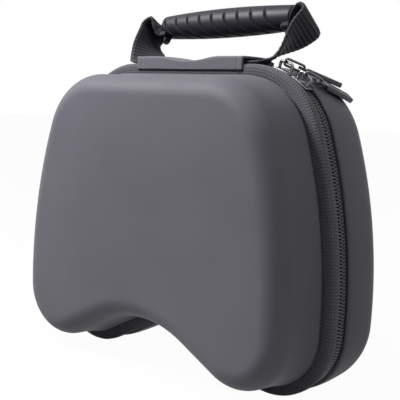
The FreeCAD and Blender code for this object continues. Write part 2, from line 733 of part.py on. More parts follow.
def make_tab(number):
    """The moulded tab: a thin neck with an eye for the link, and a square-ended bar."""
    body = new_body(f"pull_{number}_tab")
    eye_far = f"(Sizes.link_length + {LINK_RADIUS} + Sizes.link_wire / 2 + Sizes.run_gap)"
    eye_near = f"(Sizes.link_length + {LINK_RADIUS} - Sizes.link_wire / 2 - Sizes.run_gap)"
    neck_near = f"({eye_near} - Sizes.neck_thickness)"
    neck_far = f"({neck_near} + Sizes.neck_length)"
    neck = new_sketch(body, "neck", "XY_Plane", "-Sizes.neck_thickness / 2")
    draw_rectangle(neck, "-Sizes.neck_width / 2", "Sizes.neck_width / 2", neck_near, neck_far)
    pad(body, neck, "Sizes.neck_thickness")
    bar = new_sketch(body, "bar", "XY_Plane", "-Sizes.tab_thickness / 2")
    draw_rectangle(
        bar, "-Sizes.tab_width / 2", "Sizes.tab_width / 2",
        f"{neck_far} - Sizes.neck_thickness / 2", f"{neck_far} + Sizes.tab_length",
    )
    pad(body, bar, "Sizes.tab_thickness")
    along = size("tab_length")
    round_edges(body, "bar_round", "Sizes.tab_round", lambda edge: edge.BoundBox.YLength > along)
    eye = new_sketch(body, "eye", "XY_Plane", "Sizes.neck_thickness / 2")
    half_eye = "(Sizes.link_wire / 2 + Sizes.run_gap)"
    draw_rectangle(eye, f"-{half_eye}", half_eye, eye_near, eye_far)
    pocket(body, eye, "Sizes.neck_thickness")
    body.Placement = pull_placement(number)
    return body


def make_pocket_panel(name, thickness, bottom, top):
    """A panel across the lid's hollow, from wall to wall, between two heights."""
    body = new_body(name)
    draft = f"tan(Sizes.front_draft * 1 deg) * ({NET_Y} + {thickness} - {EDGE_Y})"
    wall = f"({FRONT_CAVITY} + {draft} + Sizes.run_gap)"
    panel = new_sketch(body, "panel", "XZ_Plane", NET_Y)
    draw_outline(panel, wall)
    pad(body, panel, thickness)
    for edge, low, high in (("above", top, "Sizes.case_height"), ("below", f"-{bottom}", bottom)):
        if size(bottom) == 0 and edge == "below":
            continue
        cut = new_sketch(body, edge, "XZ_Plane", f"-{HALF_DEPTH}")
        draw_rectangle(cut, "-Sizes.case_width / 2", "Sizes.case_width / 2", low, high)
        pocket(body, cut, "Sizes.case_depth", True)
    return body


subparts = [
    make_shell("front_shell", -1, "Sizes.band_width", "Sizes.band_proud",
               "Sizes.front_draft", "Sizes.front_round", FRONT_CAVITY),
    make_shell("rear_shell", 1, "Sizes.rear_land", "0",
               "Sizes.rear_draft", "Sizes.rear_round", "Sizes.shell_wall"),
    make_hinge_cloth(),
    make_spine_flap(),
    make_webbing(),
    make_grip(),
    make_pocket_panel("mesh_pocket", "Sizes.net_thickness", "0", "Sizes.pocket_height"),
    make_pocket_panel("pocket_elastic", "Sizes.hem_thickness", "Sizes.pocket_height",
                      "(Sizes.pocket_height + Sizes.hem_height)"),
]
for half_name, side in (("front", -1), ("rear", 1)):
    subparts.append(make_tape(f"zip_tape_{half_name}", side))
    subparts.append(make_coil(f"zip_coil_{half_name}", side))
    subparts.append(make_binding(f"{half_name}_binding", side))
for number in (1, 2):
    subparts.append(make_slider(number))
    subparts.append(make_link(number))
    subparts.append(make_tab(number))

doc.recompute()
for item in doc.Objects:
    if "Invalid" in item.State or "Error" in item.State:
        raise RuntimeError(f"{item.Name} failed: {item.State}")
for subpart in subparts:
    if subpart.Shape.isNull() or not subpart.Shape.isValid():
        raise RuntimeError(f"{subpart.Label} has no valid shape")

os.makedirs("parts", exist_ok=True)
for subpart in subparts:
    subpart.Shape.exportStep(f"parts/{subpart.Label}.step")
    print(subpart.Label, len(subpart.Shape.Solids), round(subpart.Shape.Volume, 1))
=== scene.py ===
# %% [markdown]
# A zipped carrying case for a game controller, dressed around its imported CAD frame.
# The frame gives every place and size; this file adds the leatherette, the zip, the webbing and the light.
# Lengths are written in millimetres and turned into metres when a piece is finished.

import math

import bmesh
import bpy
from mathutils import Matrix, Vector


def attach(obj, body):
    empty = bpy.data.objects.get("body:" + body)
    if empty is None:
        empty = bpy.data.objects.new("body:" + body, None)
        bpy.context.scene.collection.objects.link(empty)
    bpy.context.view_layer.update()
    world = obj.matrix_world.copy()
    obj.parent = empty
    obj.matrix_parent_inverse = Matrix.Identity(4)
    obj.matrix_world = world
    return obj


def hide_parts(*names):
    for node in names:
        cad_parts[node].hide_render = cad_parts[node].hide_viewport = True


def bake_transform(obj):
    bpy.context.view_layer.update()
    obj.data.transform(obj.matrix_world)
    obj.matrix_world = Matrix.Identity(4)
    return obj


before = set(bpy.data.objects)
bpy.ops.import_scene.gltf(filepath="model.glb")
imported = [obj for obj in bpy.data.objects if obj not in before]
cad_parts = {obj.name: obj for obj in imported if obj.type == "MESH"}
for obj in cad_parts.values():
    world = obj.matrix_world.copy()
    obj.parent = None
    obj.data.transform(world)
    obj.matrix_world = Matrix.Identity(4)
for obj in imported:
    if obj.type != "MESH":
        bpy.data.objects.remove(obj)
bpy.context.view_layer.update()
MM = 0.001

# %% [markdown]
# The camera comes first, because every place in the picture hangs on it.
# It stands to the right of the front and a little above the middle, far enough for a calm perspective.

# %% Camera
IMAGE_SIDE = 400
FOCAL_PIXELS = 864.08
VIEW_YAW, VIEW_PITCH, VIEW_ROLL = (math.radians(a) for a in (42.54, 6.1, 2.77))
VIEW_TARGET = Vector((2.56, 1.4, 85.12)) * MM
VIEW_DISTANCE = 446.84 * MM

back = Vector((
    math.sin(VIEW_YAW) * math.cos(VIEW_PITCH),
    -math.cos(VIEW_YAW) * math.cos(VIEW_PITCH),
    math.sin(VIEW_PITCH),
))
level = Vector((math.cos(VIEW_YAW), math.sin(VIEW_YAW), 0))
upright = back.cross(level)
right = level * math.cos(VIEW_ROLL) + upright * math.sin(VIEW_ROLL)
above = upright * math.cos(VIEW_ROLL) - level * math.sin(VIEW_ROLL)
turn = Matrix((right, above, back)).transposed().to_4x4()
camera = bpy.data.objects.new("camera", bpy.data.cameras.new("camera"))
camera.data.sensor_width = 36
camera.data.lens = FOCAL_PIXELS / IMAGE_SIDE * camera.data.sensor_width
camera.data.clip_start = 0.01
camera.matrix_world = Matrix.Translation(VIEW_TARGET + back * VIEW_DISTANCE) @ turn
bpy.context.collection.objects.link(camera)
bpy.context.scene.camera = camera
print("lens in mm:", round(camera.data.lens, 1))

# %% [markdown]
# Materials are written as small expressions. A wrapped socket takes part in Python arithmetic,
# and each operator adds one Math node; every other node comes from one method of the material.

# %% Shader helpers
class Flow:
    """A socket of a material; arithmetic on it adds Math nodes."""

    def __init__(self, finish, socket):
        self.finish = finish
        self.socket = socket

    def math(self, operation, *values):
        node = self.finish.node("Math", {"operation": operation}, dict(enumerate(values)))
        return Flow(self.finish, node.outputs[0])

    def __add__(self, other):
        return self.math("ADD", self, other)

    def __sub__(self, other):
        return self.math("SUBTRACT", self, other)

    def __rsub__(self, other):
        return self.math("SUBTRACT", other, self)

    def __mul__(self, other):
        return self.math("MULTIPLY", self, other)

    def __rmul__(self, other):
        return self.math("MULTIPLY", other, self)

    def __truediv__(self, other):
        return self.math("DIVIDE", self, other)

    def __lt__(self, other):
        return self.math("LESS_THAN", self, other)

    def call(self, operation, *values):
        return self.math(operation, self, *values)


class Finish:
    """A material under construction: a Principled shader and the nodes that feed it."""

    def __init__(self, name, **constants):
        self.material = bpy.data.materials.new(name)
        self.material.use_nodes = True
        self.tree = self.material.node_tree
        self.shader = self.tree.nodes["Principled BSDF"]
        self.feed(self.shader, constants)

    def feed(self, node, values):
        for key, value in values.items():
            socket = node.inputs[key.replace("_", " ") if isinstance(key, str) else key]
            if isinstance(value, Flow):
                self.tree.links.new(value.socket, socket)
            else:
                socket.default_value = value

    def node(self, kind, settings=None, values=None):
        made = self.tree.nodes.new("ShaderNode" + kind)
        for key, value in (settings or {}).items():
            setattr(made, key, value)
        self.feed(made, values or {})
        return made

    def out(self, kind, output, settings=None, values=None):
        return Flow(self, self.node(kind, settings, values).outputs[output])

    def place(self):
        """Object coordinates, in metres."""
        return self.out("TexCoord", "Object")

    def woven(self, axis):
        """One part of the piece's own weave attribute: millimetres along it, or across it."""
        weave = self.out("Attribute", "Vector", {"attribute_name": "weave"})
        return self.out("SeparateXYZ", axis, None, {0: weave})

    def noise(self, scale, detail=2.0, rough=0.5):
        values = {"Vector": self.place(), "Scale": scale, "Detail": detail, "Roughness": rough}
        return self.out("TexNoise", "Fac", None, values)

    def cells(self, scale):
        values = {"Vector": self.place(), "Scale": scale}
        return self.out("TexVoronoi", "Distance", {"feature": "F1"}, values)

    def blend(self, factor, low, high):
        values = {0: factor, 6: low, 7: high}
        return self.out("Mix", 2, {"data_type": "RGBA"}, values)

    def spread(self, value, low, high):
        """Brings a value from 0..1 into low..high."""
        return value * (high - low) + low

    def bump(self, height, strength, distance):
        values = {"Strength": strength, "Distance": distance, "Height": height}
        self.feed(self.shader, {"Normal": self.out("Bump", "Normal", None, values)})

    def set(self, **values):
        self.feed(self.shader, values)
        return self


def grey(red, green, blue):
    """A colour written as it shows on screen, 0 to 255, as linear light."""
    linear = []
    for part in (red, green, blue):
        part /= 255
        linear.append(part / 12.92 if part <= 0.04045 else ((part + 0.055) / 1.055) ** 2.4)
    return (*linear, 1.0)


print("helpers ready")

# %% [markdown]
# The shells are foam sheet pressed hot in a mould, with a matt charcoal leatherette on the outside.
# Close to, leatherette has a fine pebble grain; from further off, its tone drifts a little,
# and it is a touch smoother where hands and tables rub it.

# %% Leatherette
def leatherette(name, dark, light, grain):
    paint = Finish(name, Specular_IOR_Level=0.1, Sheen_Weight=0.02, Sheen_Roughness=0.5)
    drift = paint.noise(14.0, 3.0)
    fleck = paint.noise(1900.0, 1.0)
    tone = drift * 0.75 + fleck * 0.25
    pebbles = paint.cells(1500.0)
    fine = paint.noise(5200.0, 2.0)
    rub = paint.noise(38.0, 4.0)
    paint.bump(pebbles * 0.7 + fine * 0.3, grain, 0.00012)
    return paint.set(
        Base_Color=paint.blend(tone, dark, light),
        Roughness=paint.spread(rub * 0.6 + fleck * 0.4, 0.44, 0.66),
    ).material


cover_finish = leatherette("charcoal_leatherette", grey(68, 67, 73), grey(90, 89, 96), 0.22)
# The flap takes a lighter copy of the same leatherette: painted light, standing for the light from above
# that falls on its top.
flap_finish_painted_lighter = leatherette("flap_leatherette", grey(74, 73, 79), grey(96, 95, 102), 0.30)
print("made", cover_finish.name, flap_finish_painted_lighter.name)

# %% [markdown]
# Every woven part carries its own attribute, millimetres along and across the cloth,
# so that the ribs follow the strap or the tape round each bend.

# %% Woven cloth
def woven_cloth(name, dark, light, rib, strand, rough, depth, zigzag=0.5):
    paint = Finish(name, Specular_IOR_Level=0.2, Sheen_Weight=0.1, Sheen_Roughness=0.4)
    along, across = paint.woven("X"), paint.woven("Y")
    turn_over = (across / strand).call("PINGPONG", 1.0)
    rows = ((along + turn_over * (rib * zigzag)) * (math.tau / rib)).call("SINE")
    columns = (across * (math.tau / strand)).call("SINE")
    height = rows * 0.3 + columns * 0.2 + 0.5
    fuzz = paint.noise(900.0, 3.0)
    paint.bump(height * 0.85 + fuzz * 0.15, depth, 0.0003)
    return paint.set(
        Base_Color=paint.blend(height * 0.7 + fuzz * 0.3, dark, light),
        Roughness=paint.spread(fuzz, rough, rough + 0.2),
    ).material


tape_finish = woven_cloth("zip_tape_twill", grey(14, 14, 16), grey(44, 44, 49), 0.9, 0.8, 0.7, 0.6)
webbing_finish = woven_cloth("nylon_webbing", grey(4, 4, 7), grey(29, 29, 38), 2.1, 1.6, 0.55, 0.9, 0.0)
binding_finish = woven_cloth("binding_tape", grey(20, 20, 22), grey(46, 46, 50), 1.1, 0.9, 0.75, 0.5)
band_finish = woven_cloth("rim_band", grey(36, 35, 40), grey(88, 87, 94), 1.5, 1.4, 0.7, 0.7)
elastic_finish = woven_cloth("ribbed_elastic", grey(16, 16, 18), grey(48, 48, 52), 2.2, 0.8, 0.7, 0.8)
print("made five woven finishes")

# %% [markdown]
# The lining is a brushed tricot glued to the foam. It shows only when the case is open.
# The net is knitted from thin threads: its holes are cut by Alpha, along the cloth's own threads.

# %% Lining and net
lining = Finish("brushed_tricot", Specular_IOR_Level=0.2, Sheen_Weight=0.4, Sheen_Roughness=0.6)
fleece = lining.noise(2600.0, 4.0, 0.7)
patches = lining.noise(26.0, 2.0)
lining.bump(fleece, 0.5, 0.0003)
lining.set(
    Base_Color=lining.blend(fleece * 0.6 + patches * 0.4, grey(34, 34, 37), grey(66, 66, 71)),
    Roughness=lining.spread(fleece, 0.8, 0.98),
)
lining_finish = lining.material

net = Finish("knitted_net", Specular_IOR_Level=0.25)
NET_MESH = 2.4
slant_up = (net.woven("X") + net.woven("Y")) / NET_MESH
slant_down = (net.woven("X") - net.woven("Y")) / NET_MESH
gap_up = slant_up.call("PINGPONG", 0.5)
gap_down = slant_down.call("PINGPONG", 0.5)
thread = gap_up.call("MINIMUM", gap_down) < 0.13
twist = net.noise(1800.0, 2.0)
net.bump(twist, 0.4, 0.0002)
net.set(
    Base_Color=net.blend(twist, grey(16, 16, 18), grey(46, 46, 50)),
    Roughness=net.spread(twist, 0.6, 0.8),
    Alpha=thread,
)
net_finish = net.material
print("made", lining_finish.name, net_finish.name)

# %% [markdown]
# Hard parts: nylon zip coils with a soft gleam, black-plated sliders painted lighter along their edges
# as a painted highlight mottled with a little wear, moulded pulls, and the navy-black rubber of the grip.

# %% Nylon, metal and rubber
def moulded(name, dark, light, rough, grain, **constants):
    paint = Finish(name, **constants)
    cloud = paint.noise(120.0, 3.0)
    speck = paint.noise(3400.0, 2.0)
    paint.bump(speck, grain, 0.0001)
    return paint.set(
        Base_Color=paint.blend(cloud * 0.7 + speck * 0.3, dark, light),
        Roughness=paint.spread(cloud * 0.5 + speck * 0.5, rough - 0.08, rough + 0.12),
    ).material


coil_finish = moulded(
    "nylon_coil", grey(20, 20, 23), grey(40, 40, 45), 0.34, 0.1, Specular_IOR_Level=0.5
)
thread_finish = moulded(
    "sewing_thread", grey(44, 44, 49), grey(66, 66, 72), 0.6, 0.4, Specular_IOR_Level=0.3
)
pull_finish = moulded(
    "pull_rubber", grey(46, 46, 50), grey(66, 66, 71), 0.42, 0.15, Specular_IOR_Level=0.45
)
grip_finish = moulded(
    "grip_rubber", grey(10, 10, 18), grey(19, 19, 30), 0.46, 0.12, Specular_IOR_Level=0.18
)

plated = Finish("black_nickel", Metallic=1.0)
wear = plated.noise(700.0, 4.0, 0.6)
edge = plated.out("NewGeometry", "Pointiness")
# Lighter along sharp edges: a painted highlight, mottled with a little wear from the noise.
edge_highlight_and_wear = ((edge - 0.5) * 6.0 + wear * 0.5).call("SMOOTH_MIN", 1.0, 0.1)
plated.bump(wear, 0.08, 0.0001)
plated.set(
    Base_Color=plated.blend(edge_highlight_and_wear, grey(58, 58, 62), grey(128, 127, 130)),
    Roughness=plated.spread(wear, 0.22, 0.42),
)
metal_finish = plated.material
print("made nylon, thread, rubber and metal")

# %% [markdown]
# The rim outline rules the whole case. It is a chain of tangent lines and arcs, so one vertex is
# swung round each centre with spin, and the half outline is mirrored. Every point remembers its
# outward normal: moving inward along it gives any parallel line of the same outline.

# %% Rim outline
TOP, SPINE_HALF = 154.0, 36.0
CORNER_X, CORNER_Z, CORNER_RADIUS = 40.0, 110.6, 43.4
LOBE_X, LOBE_RADIUS = 61.5, 33.5
SIDE_RADIUS, ARCH_TOP, FLANK_RUN = 249.0, 20.3, 23.3
CROWN_Z = 85.0

arch_radius = LOBE_X ** 2 + (LOBE_RADIUS - ARCH_TOP) ** 2 - LOBE_RADIUS ** 2 - FLANK_RUN ** 2
arch_radius /= 2 * ARCH_TOP
corner_centre = Vector((CORNER_X, 0, CORNER_Z))
lobe_centre = Vector((LOBE_X, 0, LOBE_RADIUS))
arch_centre = Vector((0, 0, ARCH_TOP - arch_radius))
step = lobe_centre - corner_centre
to_corner, to_lobe = SIDE_RADIUS - CORNER_RADIUS, SIDE_RADIUS - LOBE_RADIUS
along_step = (to_corner ** 2 - to_lobe ** 2 + step.length_squared) / (2 * step.length)
off_step = math.sqrt(to_corner ** 2 - along_step ** 2)
down = step.normalized()
side_centre = corner_centre + down * along_step + Vector((down.z, 0, -down.x)) * off_step


def bearing(start, end):
    return math.atan2(end.z - start.z, end.x - start.x)


high, low = bearing(side_centre, corner_centre), bearing(side_centre, lobe_centre)
reach = (lobe_centre - arch_centre).length
flank = bearing(arch_centre, lobe_centre) + math.acos((arch_radius + LOBE_RADIUS) / reach)


def run_to(bm, vert, end, steps):
    stride = (Vector(end) - vert.co) / steps
    for _ in range(steps):
        vert = bmesh.ops.extrude_vert_indiv(bm, verts=[vert])["verts"][0]
        vert.co += stride
    return vert


def swing(bm, vert, centre, angle, steps):
    made = bmesh.ops.spin(
        bm, geom=[vert], cent=centre, axis=(0, 1, 0), angle=angle, steps=steps, use_duplicate=False
    )
    return made["geom_last"][0]


rim_bm = bmesh.new()
station = rim_bm.verts.layers.int.new("station")
point = rim_bm.verts.new((0, 0, TOP))
point = run_to(rim_bm, point, (SPINE_HALF, 0, TOP), 12)
point = run_to(rim_bm, point, (CORNER_X, 0, TOP), 2)
point = swing(rim_bm, point, corner_centre, math.pi / 2 - high, 24)
point = swing(rim_bm, point, side_centre, high - low, 26)
point = swing(rim_bm, point, lobe_centre, low - flank + math.pi, 34)
flank_end = arch_centre + Vector((math.cos(flank), 0, math.sin(flank))) * arch_radius
point = run_to(rim_bm, point, flank_end, 7)
swing(rim_bm, point, arch_centre, flank - math.pi / 2, 14)
bmesh.ops.mirror(
    rim_bm, geom=rim_bm.verts[:] + rim_bm.edges[:], matrix=Matrix.Identity(4), merge_dist=0.01, axis="X"
)
bmesh.ops.remove_doubles(rim_bm, verts=rim_bm.verts, dist=0.01)

# walk round the loop from the right end of the spine
walker = min(rim_bm.verts, key=lambda v: (v.co - Vector((SPINE_HALF, 0, TOP))).length)
ahead = max((e.other_vert(walker) for e in walker.link_edges), key=lambda v: v.co.x)
ordered = [walker]
while ahead is not ordered[0]:
    ordered.append(ahead)
    ahead = next(v for e in ahead.link_edges if (v := e.other_vert(ahead)) is not ordered[-2])
RIM = []
run = 0.0
for i, vert in enumerate(ordered):
    vert[station] = i
    before = vert.co - ordered[i - 1].co
    after = ordered[(i + 1) % len(ordered)].co - vert.co
    heading = before.normalized() * after.length + after.normalized() * before.length
    heading.normalize()
    RIM.append((vert.co.copy(), Vector((-heading.z, 0, heading.x)), run))
    run += after.length
ZIP_END = min(range(len(RIM)), key=lambda i: (RIM[i][0] - Vector((-SPINE_HALF, 0, TOP))).length)
rim_mesh = bpy.data.meshes.new("rim_outline")
rim_bm.to_mesh(rim_mesh)
rim_bm.free()
print("rim points:", len(RIM), "length in mm:", round(run, 1), "zip length:", round(RIM[ZIP_END][2], 1))

# %% [markdown]
# A skin is grown from the outline by extruding the loop again and again, each time to a new pair of
# inset and depth. Past an inset of 30 mm the loop is drawn together towards the middle of the face,
# where its points merge. All faces stay four-sided, so the leatherette bends without pinches.

# %% Skins round the rim
def verts_of(made):
    return [item for item in made if isinstance(item, bmesh.types.BMVert)]


def edges_of(made):
    return [item for item in made if isinstance(item, bmesh.types.BMEdge)]


def on_rim(index, inset, y, scale=1.0):
    point, outward, _ = RIM[index]
    place = point - outward * inset
    return Vector((place.x * scale, y, CROWN_Z + (place.z - CROWN_Z) * scale))


def grow(profile, side, whole=True, closed=False, poles=True):
    """A skin through (inset, depth, scale) steps; whole round the rim, or only along the zip."""
    bm = bmesh.new()
    bm.from_mesh(rim_mesh)
    weave = bm.verts.layers.float_vector.new("weave")
    station = bm.verts.layers.int["station"]
    if not whole:
        spine = [v for v in bm.verts if v[station] > ZIP_END]
        bmesh.ops.delete(bm, geom=spine, context="VERTS")
    ring, verts, across, last = bm.edges[:], bm.verts[:], 0.0, None
    for inset, depth, *scale in profile + (profile[:1] if closed else []):
        if last is not None:
            made = bmesh.ops.extrude_edge_only(bm, edges=ring)["geom"]
            verts, ring = verts_of(made), edges_of(made)
            across += math.hypot(inset - last[0], depth - last[1])
        else:
            first_verts = verts
        for vert in verts:
            vert.co = on_rim(vert[station], inset, side * depth, *scale)
            vert[weave] = (RIM[vert[station]][2], across, 0)
        last = (inset, depth)
    if poles:
        for loop, (inset, depth, *_) in ((first_verts, profile[0]), (verts, profile[-1])):
            middle = Vector((0, side * depth, CROWN_Z))
            bmesh.ops.pointmerge(bm, verts=loop, merge_co=middle)
    if closed:
        bmesh.ops.remove_doubles(bm, verts=bm.verts, dist=0.001)
    if closed and not whole:
        rims = [e for e in bm.edges if e.is_boundary]
        bmesh.ops.holes_fill(bm, edges=rims, sides=0)
    return bm


def bend(inset, depth, radius, start, end, steps):
    """Steps of a profile on an arc, from one angle to another; 0 faces along the depth, 90 outward."""
    made = []
    for i in range(steps + 1):
        angle = math.radians(start + (end - start) * i / steps)
        made.append((inset - radius * math.sin(angle), depth + radius * math.cos(angle)))
    return made


def straight(start, end, steps, sag=0.0):
    """Steps between two points of a profile, dished inward by sag in the middle."""
    made = []
    for i in range(1, steps):
        part = i / steps
        dish = sag * math.sin(math.pi * part)
        made.append((start[0] + (end[0] - start[0]) * part + dish, start[1] + (end[1] - start[1]) * part))
    return made


def finish(name, bm, material, body, slot, replaced=(), levels=0):
    """Turns a mesh in millimetres into a piece of the object, in metres, on its body."""
    bmesh.ops.scale(bm, vec=(MM, MM, MM), verts=bm.verts)
    bmesh.ops.recalc_face_normals(bm, faces=bm.faces)
    for face in bm.faces:
        face.smooth = True
    mesh = bpy.data.meshes.new(name)
    bm.to_mesh(mesh)
    bm.free()
    mesh.materials.append(material)
    piece = bpy.data.objects.new(name, mesh)
    bpy.context.collection.objects.link(piece)
    if levels:
        soften = piece.modifiers.new("soften", "SUBSURF")
        soften.levels = soften.render_levels = levels
    if body:
        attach(piece, body)
    if replaced:
        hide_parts(*replaced)
    print(name, "faces:", len(mesh.polygons))
    return piece


# %% [markdown]
# The front half is one moulding: a broad, slightly crowned face, a soft round into a dished wall,
# a crevice, and the proud band that carries the zip. Its profile is followed from the middle of the
# face to the band, in under the lip, and back along the hidden side to the middle again,
# so the skin is closed.

# %% Front cover
FACE_SCALES = (0.0, 0.35, 0.7)
FACE_Y, FLOOR_Y = 41.2, 37.7
EDGE = 4.2

front_profile = [(30, FACE_Y - 0.06 * i, scale) for i, scale in enumerate(FACE_SCALES)]
front_profile += [(30, 41.04), (26, 41.0), (22, 40.94)]
front_profile += bend(17.57, 29.9, 11.0, 3, 84.6, 16)
front_profile += straight((6.62, 30.9), (4.9, 11.6), 9, 0.5)
front_profile += [(4.9, 11.6), (5.1, 11.1), (5.7, 10.85), (6.9, 10.7), (7.1, 10.2), (6.9, 9.7)]
front_profile += [(5.3, 9.6), (2.2, 9.6)]
front_profile += bend(1.3, 8.3, 1.3, 0, 90, 5)
front_profile += [(-0.05, 7.0)]
front_profile += bend(1.2, 5.4, 1.2, 90, 180, 5)
front_profile += [(1.7, EDGE), (1.9, 4.5), (1.9, 7.1), (2.2, 7.6), (7.3, 7.7), (7.6, 8.5)]
front_profile += straight((7.6, 8.5), (9.9, 33.2), 6)
front_profile += bend(15.36, 33.2, 5.4, 84.6, 0, 6)
front_profile += [(30, 38.6)] + [(30, 38.6, scale) for scale in reversed(FACE_SCALES)]
finish(
    "front_cover", grow(front_profile, -1), cover_finish, "lid", "shell_cover", ["front_shell"], 1
)

# %% [markdown]
# The rear half is rounder: a short land beside the zip, then one long curve into a flat back.

# %% Rear cover
REAR_EDGE = 3.7
rear_profile = [(30, FACE_Y - 0.04 * i, scale) for i, scale in enumerate(FACE_SCALES)]
rear_profile += [(30, 41.08), (26.5, 41.06)]
rear_profile += bend(22.88, 19.1, 21.95, 2, 84.7, 18)
rear_profile += [(0.5, 16.2), (0.1, 11.7), (0.0, 9.3), (-0.05, 7.3)]
rear_profile += bend(1.2, REAR_EDGE + 1.2, 1.2, 90, 180, 5)
rear_profile += [(1.7, REAR_EDGE), (1.9, 4.0), (1.9, 7.1), (2.2, 7.6), (2.6, 7.9)]
rear_profile += straight((2.6, 7.9), (4.0, 19.2), 4)
rear_profile += bend(23.43, 19.2, 19.4, 84.7, 0, 12)
rear_profile += [(30, 38.6)] + [(30, 38.6, scale) for scale in reversed(FACE_SCALES)]
finish(
    "rear_cover", grow(rear_profile, 1), cover_finish, "rear", "shell_cover", ["rear_shell"], 1
)

# %% [markdown]
# The lining is a thin skin of cloth against the foam, from the seat of the zip tape down to the floor
# of each half. It is its own piece, because it is another material and shows when the case is open.

# %% Linings
front_lining_profile = [(30, FLOOR_Y, scale) for scale in FACE_SCALES] + [(30, FLOOR_Y), (24, FLOOR_Y)]
front_lining_profile += bend(15.36, 33.2, 4.5, 0, 84.6, 6)
front_lining_profile += straight((10.9, 33.0), (8.6, 8.7), 8)
front_lining_profile += [(8.5, 8.2), (8.2, 7.65), (7.6, 7.4), (4.5, 7.38), (2.0, 7.38)]
front_lining_profile += [(2.1, 7.6), (7.3, 7.65)]
front_lining_profile += straight((7.9, 8.5), (10.3, 33.0), 6)
front_lining_profile += bend(15.36, 33.2, 5.0, 84.6, 0, 5)
front_lining_profile += [(30, 38.2)] + [(30, 38.2, scale) for scale in reversed(FACE_SCALES)]
finish("front_lining", grow(front_lining_profile, -1), lining_finish, "lid", "lining_cloth")

rear_lining_profile = [(30, FLOOR_Y, scale) for scale in FACE_SCALES] + [(30, FLOOR_Y), (27, FLOOR_Y)]
rear_lining_profile += bend(23.43, 19.2, 18.5, 0, 84.7, 12)
rear_lining_profile += straight((4.9, 19.2), (4.1, 8.9), 4)
rear_lining_profile += [(4.0, 8.2), (3.7, 7.6), (3.2, 7.4), (2.0, 7.38), (2.1, 7.6), (2.9, 7.8), (3.3, 8.5)]
rear_lining_profile += straight((3.3, 8.5), (4.4, 19.2), 4)
rear_lining_profile += bend(23.43, 19.2, 19.0, 84.7, 0, 10)
rear_lining_profile += [(30, 38.2)] + [(30, 38.2, scale) for scale in reversed(FACE_SCALES)]
finish("rear_lining", grow(rear_lining_profile, 1), lining_finish, "rear", "lining_cloth")

# %% [markdown]
# The front rim is bound with a coarse woven tape, from the bottom of the crevice over the proud band to
# the edge beside the zip. It is much darker than the leatherette, and it frames the whole face.

# %% Band tape
BAND_SECTION = [
    (5.9, 9.55), (4.6, 9.66), (3.6, 9.7), (2.0, 9.72), (0.9, 9.6), (0.1, 9.1),
    (-0.28, 8.3), (-0.34, 7.0), (-0.28, 5.5), (0.02, 4.75), (0.5, 4.25), (1.2, 4.05),
    (1.75, 4.05), (1.8, 4.3), (0.6, 5.2), (0.3, 7.0), (0.8, 8.7), (3.0, 9.3),
]
band = grow(BAND_SECTION, -1, closed=True, poles=False)
finish("band_tape", band, band_finish, "lid", "zip_tape")

# %% [markdown]
# A narrow binding tape is folded over the raw edge inside each half and holds the zip tape in its seat.
# Its section is a rounded bar; the zip tape is a flatter one that dips a little beside the coil.

# %% Bindings and zip tapes
BINDING_SECTION = [
    (2.85, 5.7), (2.95, 4.7), (3.4, 4.25), (3.85, 4.7), (3.98, 5.7), (3.9, 6.9), (3.4, 7.28), (2.95, 6.9),
]
TAPE_SECTION = [
    (2.05, 2.8), (2.15, 3.3), (2.05, 3.9), (2.02, 4.5), (2.02, 7.1), (2.4, 7.2),
    (2.68, 7.1), (2.68, 4.5), (2.68, 3.9), (2.66, 3.3), (2.6, 2.8),
]
for half, side, body in (("front", -1, "lid"), ("rear", 1, "rear")):
    binding = grow(BINDING_SECTION, side, closed=True, poles=False)
    finish(f"{half}_binding_tape", binding, binding_finish, body, "lining_cloth", [f"{half}_binding"])
    tape = grow(TAPE_SECTION, side, whole=False, closed=True, poles=False)
    finish(f"{half}_zip_tape", tape, tape_finish, body, "zip_tape", [f"zip_tape_{half}"])

# %% [markdown]
# A coil zip is two nylon spirals sewn to the tapes. From outside each turn shows as a short rounded rib,
# and the two rows mesh like fingers. One rib is a bevelled block of a few dozen faces; it is copied along
# the line of the zip, half a pitch later on the second row, so that the rows interlock in the middle.

# %% Zip coils
COIL_INSET, COIL_PITCH = 2.35, 1.6
RIB_SIZE = (1.02, 3.05, 2.3)
RIB_MIDDLE_Y = 1.1
RIB_SLANT = math.radians(9)


def along_zip(distance, inset):
    """Place, outward normal and heading at a distance along the zip."""
    i = 0
    while i < ZIP_END - 1 and RIM[i + 1][2] <= distance:
        i += 1
    part = (distance - RIM[i][2]) / (RIM[i + 1][2] - RIM[i][2])
    place = on_rim(i, inset, 0).lerp(on_rim(i + 1, inset, 0), part)
    outward = RIM[i][1].lerp(RIM[i + 1][1], part).normalized()
    return place, outward, Vector((outward.z, 0, -outward.x))


def frame_at(place, heading, outward):
    """A placement whose X runs along the zip, Y across it and Z out of the case."""
    turn = Matrix((heading, outward.cross(heading), outward)).transposed().to_4x4()
    return Matrix.Translation(place) @ turn


def add_copy(bm, mesh, matrix):
    start = len(bm.verts)
    bm.from_mesh(mesh)
    bm.verts.ensure_lookup_table()
    bmesh.ops.transform(bm, matrix=matrix, verts=bm.verts[start:])


rib_bm = bmesh.new()
bmesh.ops.create_cube(rib_bm, size=1.0)
bmesh.ops.scale(rib_bm, vec=RIB_SIZE, verts=rib_bm.verts)
bmesh.ops.bevel(
    rib_bm, geom=rib_bm.edges[:], offset=0.46, affect="EDGES", segments=2, profile=0.5, material=-1
)
rib_mesh = bpy.data.meshes.new("coil_rib")
rib_bm.to_mesh(rib_mesh)
rib_bm.free()
CORD_SECTION = [(1.5, 2.25), (1.9, 2.7), (2.35, 2.78), (2.9, 2.7), (3.3, 2.25), (2.35, 2.0)]

